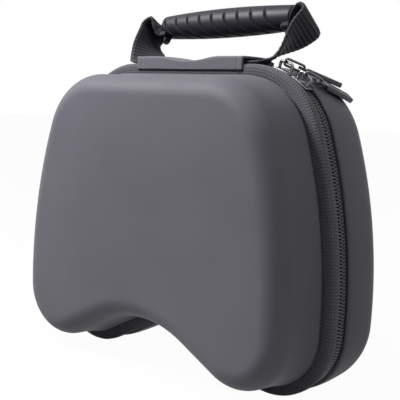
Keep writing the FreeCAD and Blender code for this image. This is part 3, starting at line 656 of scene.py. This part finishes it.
for half, side, body, lag in (("front", -1, "lid", 0.0), ("rear", 1, "rear", 0.5)):
    coil = bmesh.new()
    ribs = int(RIM[ZIP_END][2] / COIL_PITCH)
    for i in range(ribs):
        place, outward, heading = along_zip((i + 0.25 + lag) * COIL_PITCH, COIL_INSET)
        place.y = side * RIB_MIDDLE_Y
        slant = Matrix.Rotation(RIB_SLANT * side, 4, "Z")
        add_copy(coil, rib_mesh, frame_at(place, heading, outward) @ slant)
    cord = grow(CORD_SECTION, side, whole=False, closed=True, poles=False)
    cord_mesh = bpy.data.meshes.new(f"{half}_coil_cord")
    cord.to_mesh(cord_mesh)
    cord.free()
    coil.from_mesh(cord_mesh)
    finish(f"{half}_zip_coil", coil, coil_finish, body, "zip_coil", [f"zip_coil_{half}"])
    print(half, "ribs:", ribs)

# %% [markdown]
# A row of machine stitches holds the tape under the band. Each stitch is a thread that dives into the
# leatherette at both ends, so it is a little arched spindle, half sunk in the surface.

# %% Stitches
STITCH_PITCH, STITCH_LENGTH, STITCH_WIDTH = 3.0, 2.3, 0.5
STITCH_Y = -6.9
stitch_bm = bmesh.new()
bmesh.ops.create_uvsphere(stitch_bm, u_segments=8, v_segments=6, radius=0.5)
bmesh.ops.rotate(stitch_bm, matrix=Matrix.Rotation(math.pi / 2, 3, "Y"), verts=stitch_bm.verts)
bmesh.ops.scale(stitch_bm, vec=(STITCH_LENGTH, STITCH_WIDTH, STITCH_WIDTH), verts=stitch_bm.verts)
stitch_mesh = bpy.data.meshes.new("stitch")
stitch_bm.to_mesh(stitch_mesh)
stitch_bm.free()

band_stitches = bmesh.new()
count = int(RIM[ZIP_END][2] / STITCH_PITCH)
for i in range(count):
    place, outward, heading = along_zip((i + 0.5) * STITCH_PITCH, 0.0)
    place.y = STITCH_Y
    add_copy(band_stitches, stitch_mesh, frame_at(place, heading, outward))
finish("band_stitches", band_stitches, thread_finish, "lid", "zip_tape")

# %% [markdown]
# Each slider is two plates joined by a divider, with turned-in sides that hold the coils and a wire bail
# for the pull. It is modelled flat, X along the zip, and then wrapped on the corner of the rim.

# %% Sliders
ZIP_RADIUS = CORNER_RADIUS - COIL_INSET
SLIDER_ANGLES = (18.5, 34.2)
PLATE_IN, PLATE_OUT, LIP_Z = 1.5, 2.7, 0.65
BAIL_Z, BAIL_REACH, BAIL_WIRE = 6.3, 3.3, 1.4
PLATE_OUTLINE = [(-5.2, 2.8), (-4.2, 3.45), (-0.5, 3.5), (2.4, 3.6), (4.2, 3.5), (5.2, 2.8)]


def slider_plate(bm):
    outline = PLATE_OUTLINE + [(x, -y) for x, y in reversed(PLATE_OUTLINE)]
    face = bm.faces.new([bm.verts.new((x, y, PLATE_IN)) for x, y in outline])
    plate = bmesh.ops.extrude_face_region(bm, geom=[face], use_keep_orig=True)["geom"]
    bmesh.ops.translate(bm, vec=(0, 0, PLATE_OUT - PLATE_IN), verts=verts_of(plate))
    bmesh.ops.recalc_face_normals(bm, faces=bm.faces)
    bmesh.ops.inset_region(bm, faces=[face], thickness=0.8, use_even_offset=True)
    sides = [f for f in bm.faces if abs(f.calc_center_median().z - PLATE_IN) < 0.01 and f is not face]
    sides = [f for f in sides if abs(f.calc_center_median().y) > 2.5]
    lips = bmesh.ops.extrude_face_region(bm, geom=sides)["geom"]
    bmesh.ops.delete(bm, geom=[f for f in sides if f.is_valid], context="FACES_ONLY")
    bmesh.ops.translate(bm, vec=(0, 0, LIP_Z - PLATE_IN), verts=verts_of(lips))
    sharp = [e for e in bm.edges if len(e.link_faces) == 2 and e.calc_face_angle() > 0.5]
    bmesh.ops.bevel(bm, geom=sharp, offset=0.22, affect="EDGES", segments=2, profile=0.5, material=-1)


def slider_bail(bm):
    """A round wire: up from the plate, over in a bar, and down again."""
    foot = Matrix.Translation((-BAIL_REACH, 0, PLATE_OUT - 0.6))
    ring = bmesh.ops.create_circle(bm, segments=12, radius=BAIL_WIRE / 2, matrix=foot)["verts"]
    geom = list({e for v in ring for e in v.link_edges})
    rise = BAIL_Z - BAIL_WIRE - (PLATE_OUT - 0.6)

    def push(geom, vec):
        made = bmesh.ops.extrude_edge_only(bm, edges=geom)["geom"]
        bmesh.ops.translate(bm, vec=vec, verts=verts_of(made))
        return edges_of(made)

    def curl(geom, x):
        made = bmesh.ops.spin(
            bm, geom=geom, cent=(x, 0, BAIL_Z - BAIL_WIRE), axis=(0, 1, 0), angle=math.pi / 2, steps=6
        )["geom_last"]
        return edges_of(made)

    geom = push(geom, (0, 0, rise))
    geom = curl(geom, -BAIL_REACH + BAIL_WIRE)
    geom = push(geom, (2 * (BAIL_REACH - BAIL_WIRE), 0, 0))
    geom = curl(geom, BAIL_REACH - BAIL_WIRE)
    push(geom, (0, 0, -rise))


def wrap_on_corner(bm, angle):
    """Bends a flat mesh round the corner arc, at an angle from the top."""
    for vert in bm.verts:
        lean = math.radians(angle) + vert.co.x / ZIP_RADIUS
        out = ZIP_RADIUS + vert.co.z
        vert.co = corner_centre + Vector((math.sin(lean) * out, vert.co.y, math.cos(lean) * out))


for number, angle in enumerate(SLIDER_ANGLES, start=1):
    slider = bmesh.new()
    slider_plate(slider)
    bmesh.ops.mirror(
        slider, geom=slider.verts[:] + slider.edges[:] + slider.faces[:], matrix=Matrix.Identity(4),
        merge_dist=-1, axis="Z",
    )
    post = bmesh.ops.create_cube(slider, size=1.0)["verts"]
    bmesh.ops.scale(slider, vec=(2.6, 0.5, 2 * PLATE_IN + 1.2), verts=post)
    bmesh.ops.translate(slider, vec=(2.7, 0, 0), verts=post)
    slider_bail(slider)
    wrap_on_corner(slider, angle)
    finish(f"slider_{number}_plates", slider, metal_finish, f"slider_{number}", "slider_metal",
           [f"slider_{number}_body"])

# %% [markdown]
# The pulls are square-ended rubber tabs on small wire links. A tab is a block with an eye at its neck,
# a sunk panel on each face and rounded edges. The links keep their CAD shape and take the metal finish.

# %% Pulls
PULL_YAWS, PULL_DROOP = (-26.0, -18.0), -10.0
BAIL_RADIUS = ZIP_RADIUS + BAIL_Z
NECK = (7.5, 13.4, 4.4, 1.4)
BAR = (12.6, 30.5, 6.2, 2.4)
EYE = (8.9, 10.7, 0.9)


def pull_place(angle, yaw):
    place = Matrix.Translation(corner_centre) @ Matrix.Rotation(math.radians(angle), 4, "Y")
    place = place @ Matrix.Translation((0, 0, BAIL_RADIUS))
    place = place @ Matrix.Rotation(math.radians(PULL_DROOP), 4, "X")
    return place @ Matrix.Rotation(math.radians(yaw), 4, "Z")


def block(bm, near, far, width, thick):
    verts = bmesh.ops.create_cube(bm, size=1.0)["verts"]
    bmesh.ops.scale(bm, vec=(width, far - near, thick), verts=verts)
    bmesh.ops.translate(bm, vec=(0, (near + far) / 2, 0), verts=verts)
    return verts


def pull_tab():
    bm = bmesh.new()
    block(bm, *BAR)
    faces = [f for f in bm.faces if abs(f.normal.z) > 0.9]
    bmesh.ops.inset_individual(bm, faces=faces, thickness=1.1, depth=0.0)
    bmesh.ops.inset_individual(bm, faces=faces, thickness=0.35, depth=-0.3)
    sharp = [e for e in bm.edges if e.calc_face_angle() > 1.2]
    bmesh.ops.bevel(bm, geom=sharp, offset=0.55, affect="EDGES", segments=3, profile=0.5, material=-1)
    near, far, width, thick = NECK
    eye_near, eye_far, eye_half = EYE
    rail = (width / 2 - eye_half)
    for side in (-1, 1):
        verts = block(bm, near, far, rail, thick)
        bmesh.ops.translate(bm, vec=(side * (eye_half + rail / 2), 0, 0), verts=verts)
    block(bm, near, eye_near, width, thick)
    block(bm, eye_far, far, width, thick)
    return bm


for number, (angle, yaw) in enumerate(zip(SLIDER_ANGLES, PULL_YAWS), start=1):
    tab = pull_tab()
    bmesh.ops.transform(tab, matrix=pull_place(angle, yaw), verts=tab.verts)
    finish(f"pull_{number}_bar", tab, pull_finish, f"pull_{number}", "pull_rubber", [f"pull_{number}_tab"])
    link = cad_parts[f"pull_{number}_link"]
    link.data.materials.clear()
    link.data.materials.append(metal_finish)

# %% [markdown]
# The grip is a barrel of rubber moulded round the folded strap. Its profile is spun into a fine mesh,
# and slanting finger grooves are pressed into the lower front side by moving its points inward.

# %% Grip
LEAN, TILT = math.radians(38.9), math.radians(1.8)
STRAP_BASE = Vector((0, 1.6, 155.15))
UP_LEAN = Vector((0, math.sin(LEAN), math.cos(LEAN)))
HANDLE_RISE = 28.3
GRIP_HALF, GRIP_END, GRIP_MIDDLE, GRIP_ROUND = 44.0, 6.2, 7.7, 1.0
GROOVE_PITCH, GROOVE_WIDTH, GROOVE_DEPTH, GROOVE_SLANT = 8.8, 1.5, 1.3, 6.2
GROOVE_ROWS = 9


def barrel_radius(x):
    return GRIP_END + (GRIP_MIDDLE - GRIP_END) * (1 - (x / GRIP_HALF) ** 2)


def groove_depth(x, angle):
    """How deep the surface is pressed at a place along the grip and round it; 0 is the top."""
    under = 0.5 - 0.5 * math.cos(angle)
    if under < 0.32:
        return 0.0
    fade = min(1.0, (under - 0.32) / 0.3)
    middle = x + GROOVE_SLANT * math.sin(angle)
    row = round(middle / GROOVE_PITCH)
    if abs(row) > (GROOVE_ROWS - 1) / 2:
        return 0.0
    off = abs(middle - row * GROOVE_PITCH) / (GROOVE_WIDTH / 2)
    return GROOVE_DEPTH * fade * max(0.0, 1 - off * off) ** 0.6 if off < 1 else 0.0


grip_bm = bmesh.new()
point = grip_bm.verts.new((-GRIP_HALF + 1.0, 0, 2.6))
point = run_to(grip_bm, point, (-GRIP_HALF, 0, 3.0), 1)
point = run_to(grip_bm, point, (-GRIP_HALF, 0, GRIP_END - GRIP_ROUND), 2)
point = swing(grip_bm, point, (-GRIP_HALF + GRIP_ROUND, 0, GRIP_END - GRIP_ROUND), math.pi / 2, 6)
GRIP_STEPS = 230
for i in range(1, GRIP_STEPS + 1):
    x = -GRIP_HALF + GRIP_ROUND + (2 * GRIP_HALF - 2 * GRIP_ROUND) * i / GRIP_STEPS
    swell = barrel_radius(x) - barrel_radius(GRIP_HALF - GRIP_ROUND)
    point = run_to(grip_bm, point, (x, 0, swell + GRIP_END), 1)
point = swing(grip_bm, point, (GRIP_HALF - GRIP_ROUND, 0, GRIP_END - GRIP_ROUND), math.pi / 2, 6)
point = run_to(grip_bm, point, (GRIP_HALF, 0, 3.0), 2)
run_to(grip_bm, point, (GRIP_HALF - 1.0, 0, 2.6), 1)
bmesh.ops.spin(
    grip_bm, geom=grip_bm.verts[:] + grip_bm.edges[:], cent=(0, 0, 0), axis=(1, 0, 0),
    angle=math.tau, steps=72, use_merge=True,
)
bmesh.ops.remove_doubles(grip_bm, verts=grip_bm.verts, dist=0.001)
bmesh.ops.holes_fill(grip_bm, edges=[e for e in grip_bm.edges if e.is_boundary], sides=0)
for vert in grip_bm.verts:
    around = math.atan2(-vert.co.y, vert.co.z)
    length = math.hypot(vert.co.y, vert.co.z)
    if abs(vert.co.x) < GRIP_HALF - GRIP_ROUND:
        shrink = 1 - groove_depth(vert.co.x, around) / length
        vert.co.y *= shrink
        vert.co.z *= shrink
grip_place = Matrix.Translation(STRAP_BASE + UP_LEAN * HANDLE_RISE)
grip_place = grip_place @ Matrix.Rotation(-TILT, 4, "Y") @ Matrix.Rotation(-LEAN, 4, "X")
bmesh.ops.transform(grip_bm, matrix=grip_place, verts=grip_bm.verts)
finish("grip_barrel", grip_bm, grip_finish, "rear", "grip_rubber", ["handle_grip"])

# %% [markdown]
# One nylon strap makes the whole handle. It lies under the flap, bends up, leans back with the grip,
# turns over at the elbow and is folded lengthwise before it enters the rubber. A strip section is
# carried along that path, with a rib at every thread: at each place it gets the path's direction,
# a lean and a fold angle.

# %% Webbing
STRAP_WIDTH, STRAP_THICK = 18.6, 1.6
STRAP_RIB, RIB_RISE, STRAP_STEP = 2.1, 0.16, 0.5
TAIL_START, TAIL_END, BEND_RADIUS, ELBOW_RADIUS, ELBOW_REACH = 19.0, 38.6, 5.0, 4.0, 54.5
FOLD_WIDTH, FOLD_ANGLE = 5.2, math.radians(168)
SECTION_POINTS = 11
SELVEDGE, SELVEDGE_THIN = 0.4, 0.78


def smooth(part):
    part = min(max(part, 0.0), 1.0)
    return part * part * (3 - 2 * part)


def arc_points(centre, radius, start, end, steps):
    points = []
    for i in range(steps + 1):
        angle = start + (end - start) * i / steps
        points.append((centre[0] + radius * math.cos(angle), centre[1] + radius * math.sin(angle)))
    return points


def strap_half():
    """The strap's centre line on the right: x, and the distance up the lean."""
    bend_centre = (TAIL_END, BEND_RADIUS)
    elbow_centre = (ELBOW_REACH - ELBOW_RADIUS, HANDLE_RISE - ELBOW_RADIUS)
    span = Vector(elbow_centre) - Vector(bend_centre)
    slope = math.atan2(span.y, span.x) - math.asin((ELBOW_RADIUS - BEND_RADIUS) / span.length)
    quarter = math.pi / 2
    points = [(TAIL_START + (TAIL_END - TAIL_START) * i / 8, 0.0) for i in range(8)]
    points += arc_points(bend_centre, BEND_RADIUS, -quarter, slope - quarter, 10)
    start = points[-1]
    end = arc_points(elbow_centre, ELBOW_RADIUS, slope - quarter, slope - quarter, 1)[0]
    for i in range(1, 12):
        points.append((start[0] + (end[0] - start[0]) * i / 12, start[1] + (end[1] - start[1]) * i / 12))
    points += arc_points(elbow_centre, ELBOW_RADIUS, slope - quarter, quarter, 22)
    for i in range(1, 9):
        points.append((elbow_centre[0] + (GRIP_HALF - 4 - elbow_centre[0]) * i / 8, HANDLE_RISE))
    return points


def even_steps(points):
    """The same line with points at even distances, close enough to carry the ribs."""
    runs = [0.0]
    for one, other in zip(points, points[1:]):
        runs.append(runs[-1] + math.dist(one, other))
    steps, made, i = round(runs[-1] / STRAP_STEP), [], 0
    for step in range(steps + 1):
        goal = runs[-1] * step / steps
        while i < len(points) - 2 and runs[i + 1] < goal:
            i += 1
        part = (goal - runs[i]) / (runs[i + 1] - runs[i])
        made.append(tuple(a + (b - a) * part for a, b in zip(points[i], points[i + 1])))
    return made


def strap_section(fold):
    """Points across the strap, and their sideways and upward places, for a fold angle."""
    section = []
    radius = FOLD_WIDTH / fold if fold > 0.02 else None
    for i in range(SECTION_POINTS):
        off = STRAP_WIDTH * (i / (SECTION_POINTS - 1) - 0.5)
        core = max(-FOLD_WIDTH / 2, min(FOLD_WIDTH / 2, off))
        if radius is None:
            place = Vector((off, 0))
            tilt = 0.0
        else:
            tilt = core / radius
            place = Vector((radius * math.sin(tilt), radius * (1 - math.cos(tilt))))
            place += Vector((math.cos(tilt), math.sin(tilt))) * (off - core)
        section.append((off, place, Vector((-math.sin(tilt), math.cos(tilt)))))
    return section


def strap_ring(section, rib):
    """Both faces of the section as one loop, with slightly thinner selvedges."""
    loop = []
    for side in (1, -1):
        for off, place, normal in section if side > 0 else reversed(section):
            thin = SELVEDGE_THIN if abs(off) > STRAP_WIDTH / 2 - SELVEDGE else 1.0
            loop.append((off, place + normal * (side * thin * (STRAP_THICK / 2 + rib))))
    return loop


def strap_side(sign):
    path = [(x * sign, rise) for x, rise in even_steps(strap_half())]
    bm = bmesh.new()
    spot = bm.verts.layers.int.new("spot")
    weave = bm.verts.layers.float_vector.new("weave")
    verts = bmesh.ops.create_circle(bm, segments=2 * SECTION_POINTS, radius=1.0)["verts"]
    for i, vert in enumerate(verts):
        vert[spot] = i
    ring, run = bm.edges[:], 0.0
    lift = math.tan(TILT) / HANDLE_RISE
    centres = [STRAP_BASE + Vector((x, 0, x * rise * lift)) + UP_LEAN * rise for x, rise in path]
    elbow_height, fold_start = HANDLE_RISE - ELBOW_RADIUS, ELBOW_REACH - ELBOW_RADIUS
    in_grip = Vector((0, math.cos(LEAN), -math.sin(LEAN)))
    for i, (x, rise) in enumerate(path):
        heading = (centres[min(i + 1, len(path) - 1)] - centres[max(i - 1, 0)]).normalized()
        turned = smooth(rise / elbow_height)
        level = Vector((0, 0, sign)).cross(heading).normalized()
        across = level.lerp(in_grip, turned)
        across = (across - heading * across.dot(heading)).normalized()
        normal = heading.cross(across) * sign
        over = rise > elbow_height
        fold = FOLD_ANGLE * smooth((fold_start - abs(x)) / (fold_start - GRIP_HALF)) if over else 0.0
        centre = centres[i]
        if i:
            made = bmesh.ops.extrude_edge_only(bm, edges=ring)["geom"]
            verts, ring = verts_of(made), edges_of(made)
            run += math.dist(path[i], path[i - 1])
        rib = RIB_RISE * math.sin(math.tau * run / STRAP_RIB)
        loop = strap_ring(strap_section(fold), rib)
        for vert in verts:
            off, place = loop[vert[spot]]
            vert.co = centre + across * place.x + normal * place.y
            vert[weave] = (run, off, 0)
    bmesh.ops.holes_fill(bm, edges=[e for e in bm.edges if e.is_boundary], sides=0)
    return bm


strap = strap_side(1)
left_mesh = bpy.data.meshes.new("left_strap")
left = strap_side(-1)
left.to_mesh(left_mesh)
left.free()
strap.from_mesh(left_mesh)
handle_strap = finish("handle_strap", strap, webbing_finish, None, "webbing", ["handle_webbing"])
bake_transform(handle_strap)

# %% [markdown]
# A flap of the same leatherette closes the spine. It is one strip of sheet, low in the middle, lifted at
# its ends over the tails of the strap, with its front and rear edges turned down and sewn.

# %% Spine flap
FLAP_FRONT, FLAP_REAR, FLAP_THICK = -11.15, 11.2, 1.3
FLAP_LOW, FLAP_HIGH = 156.0, 158.1
FLAP_FOOT, FLAP_CREST = 3.0, 21.0
FRONT_HEM, REAR_HEM = 5.6, 1.4
FRONT_HEM_Z, REAR_HEM_DROP = 151.2, 2.2
SEAM_X, SEAM_HALF, SEAM_DEPTH = 32.8, 0.8, 0.25
FLAP_CROWN, CROWN_REACH = 0.35, 13.0
FLAP_CELLS = (160, 48)


def seam_dip(x):
    """How deep the sewn seam near each end presses the sheet in."""
    return SEAM_DEPTH * smooth(1 - abs(abs(x) - SEAM_X) / SEAM_HALF)


def flap_height(x, y):
    lift = FLAP_LOW + (FLAP_HIGH - FLAP_LOW) * smooth((abs(x) - FLAP_FOOT) / (FLAP_CREST - FLAP_FOOT))
    crown = FLAP_CROWN * (1 - (y / CROWN_REACH) ** 2)
    return lift + crown - FLAP_CROWN - seam_dip(x)


def flap_point(x, part):
    """A place on the flap: part runs from the lower front edge, over the top, to the rear edge."""
    width = FLAP_REAR - FLAP_FRONT - FLAP_THICK
    off = part * (FRONT_HEM + width + REAR_HEM)
    front, rear = FLAP_FRONT + FLAP_THICK / 2, FLAP_REAR - FLAP_THICK / 2
    if off < FRONT_HEM:
        crest = flap_height(x, front)
        rise = FRONT_HEM_Z + (crest - FRONT_HEM_Z) * off / FRONT_HEM
        return Vector((x, front + seam_dip(x), rise))
    if off > FRONT_HEM + width:
        drop = REAR_HEM_DROP * (off - FRONT_HEM - width) / REAR_HEM
        return Vector((x, rear, flap_height(x, rear) - drop))
    y = front + (off - FRONT_HEM)
    return Vector((x, y, flap_height(x, y)))


flap_bm = bmesh.new()
bmesh.ops.create_grid(flap_bm, x_segments=FLAP_CELLS[0], y_segments=FLAP_CELLS[1], size=0.5)
for vert in flap_bm.verts:
    vert.co = flap_point(vert.co.x * 2 * SPINE_HALF, vert.co.y + 0.5)
bmesh.ops.smooth_vert(
    flap_bm, verts=[v for v in flap_bm.verts if not v.is_boundary], factor=0.5,
    use_axis_x=False, use_axis_y=True, use_axis_z=True,
)
bmesh.ops.recalc_face_normals(flap_bm, faces=flap_bm.faces)
bmesh.ops.solidify(flap_bm, geom=flap_bm.faces[:], thickness=FLAP_THICK)
flap = finish("spine_flap_sheet", flap_bm, flap_finish_painted_lighter, None, "flap_leatherette", ["spine_flap"])
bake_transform(flap)

# %% [markdown]
# Inside the spine a strip of tape is the real hinge. It is a small stretched sheet.

# %% Hinge cloth
HINGE_LENGTH, HINGE_WIDTH, HINGE_THICK = 71.4, 14.4, 0.5
HINGE_Z, HINGE_WAVE = 151.7, 0.15
hinge_bm = bmesh.new()
bmesh.ops.create_grid(hinge_bm, x_segments=40, y_segments=16, size=0.5)
hinge_weave = hinge_bm.verts.layers.float_vector.new("weave")
for vert in hinge_bm.verts:
    wave = HINGE_WAVE * math.sin(vert.co.x * 40)
    vert.co = (vert.co.x * HINGE_LENGTH, vert.co.y * HINGE_WIDTH, HINGE_Z + wave)
    vert[hinge_weave] = (vert.co.x, vert.co.y, 0)
bmesh.ops.solidify(hinge_bm, geom=hinge_bm.faces[:], thickness=HINGE_THICK)
hinge_strip = finish("hinge_strip", hinge_bm, tape_finish, None, "lining_cloth", ["hinge_cloth"])
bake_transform(hinge_strip)

# %% [markdown]
# A net pocket spans the lid's hollow, held along the wall and by an elastic hem across its top.
# The net is a flat sheet cut to the hollow's outline; the hem is a thicker band with small gathers.

# %% Net pocket
NET_Y, NET_TOP, HEM_TOP, NET_INSET = -30.7, 95.0, 101.0, 11.0
HEM_THICK, GATHER, CUT_STEP = 1.3, 0.25, 4.5


def pocket_panel(y, inset, bottom, top):
    bm = bmesh.new()
    bm.from_mesh(rim_mesh)
    station = bm.verts.layers.int["station"]
    for vert in bm.verts:
        vert.co = on_rim(vert[station], inset, y)
    bmesh.ops.contextual_create(bm, geom=bm.edges[:])
    for height, outer in ((top, True), (bottom, False)):
        geom = bm.verts[:] + bm.edges[:] + bm.faces[:]
        bmesh.ops.bisect_plane(
            bm, geom=geom, plane_co=(0, 0, height), plane_no=(0, 0, 1),
            clear_outer=outer, clear_inner=not outer,
        )
    for i in range(-17, 18):
        geom = bm.verts[:] + bm.edges[:] + bm.faces[:]
        bmesh.ops.bisect_plane(bm, geom=geom, plane_co=(i * CUT_STEP, 0, 0), plane_no=(1, 0, 0))
    weave = bm.verts.layers.float_vector.new("weave")
    for vert in bm.verts:
        vert[weave] = (vert.co.x, vert.co.z, 0)
    return bm


net_bm = pocket_panel(NET_Y, NET_INSET, -1.0, NET_TOP + 1.0)
net_area = sum(face.calc_area() for face in net_bm.faces)
net_piece = finish("net_panel", net_bm, net_finish, "lid", "pocket_net", ["mesh_pocket"])

hem_bm = pocket_panel(NET_Y, NET_INSET, NET_TOP, HEM_TOP)
hem_faces = hem_bm.faces[:]
bmesh.ops.recalc_face_normals(hem_bm, faces=hem_faces)
bmesh.ops.solidify(hem_bm, geom=hem_faces, thickness=HEM_THICK)
for vert in hem_bm.verts:
    vert.co.y += GATHER * math.sin(vert.co.x * 0.7)
hem = finish("elastic_hem", hem_bm, elastic_finish, "lid", "pocket_net", ["pocket_elastic"])
net_area * MM * MM

# %% [markdown]
# A pale floor and a white surround, as in a catalogue picture. A soft key lamp stands near, high on the left
# in front, so that the face is light at its upper left and its right-hand rounding stays dark. A weak lamp
# fills from the right, another from above, and the camera sees the floor and the surround as white.

# %% Floor, surround and lamps
floor_bm = bmesh.new()
bmesh.ops.create_grid(floor_bm, x_segments=1, y_segments=1, size=6.0)
floor_mesh = bpy.data.meshes.new("floor")
floor_bm.to_mesh(floor_mesh)
floor_bm.free()
floor = bpy.data.objects.new("floor", floor_mesh)
bpy.context.collection.objects.link(floor)


def seen_directly(finish):
    """1 for rays from the camera, mirrors and glass; 0 for the light that falls on things."""
    path = finish.node("LightPath")
    seen = Flow(finish, path.outputs["Is Camera Ray"]) + Flow(finish, path.outputs["Is Glossy Ray"])
    return (seen + Flow(finish, path.outputs["Is Transmission Ray"])).call("MINIMUM", 1.0)


pale = Finish("pale_floor", Base_Color=(0.4, 0.4, 0.4, 1), Roughness=0.9)
glow = pale.node("Emission", None, {"Color": (1, 1, 1, 1), "Strength": 1.0})
mix = pale.node("MixShader", None, {0: seen_directly(pale) * 0.97})
pale.tree.links.new(pale.shader.outputs[0], mix.inputs[1])
pale.tree.links.new(glow.outputs[0], mix.inputs[2])
pale.tree.links.new(mix.outputs[0], pale.tree.nodes["Material Output"].inputs["Surface"])
floor_mesh.materials.append(pale.material)

world = bpy.data.worlds.new("surround")
bpy.context.scene.world = world
world.use_nodes = True


class Surround(Finish):
    def __init__(self, world):
        self.tree = world.node_tree


surround = Surround(world)
background = world.node_tree.nodes["Background"]
background.inputs["Color"].default_value = (1, 1, 1, 1)
FILL_LIGHT = 0.05
surround.feed(background, {"Strength": seen_directly(surround) * (1 - FILL_LIGHT) + FILL_LIGHT})

LAMPS = (
    ("key", (-0.4, -0.42, 0.64), 0.3, 14.0),
    ("side", (0.46, -0.06, 0.52), 0.3, 1.15),
    ("top", (0.05, -0.16, 0.9), 0.4, 2.6),
)
for name, place, size, power in LAMPS:
    lamp = bpy.data.lights.new(name, "AREA")
    lamp.shape, lamp.size, lamp.energy = "DISK", size, power
    lamp_object = bpy.data.objects.new(name, lamp)
    lamp_object.location = place
    lamp_object.rotation_euler = (Vector((0, 0, 0.08)) - Vector(place)).to_track_quat("-Z", "Y").to_euler()
    bpy.context.collection.objects.link(lamp_object)
bpy.context.scene.view_settings.view_transform = "Standard"
print("lamps:", [name for name, *_ in LAMPS])
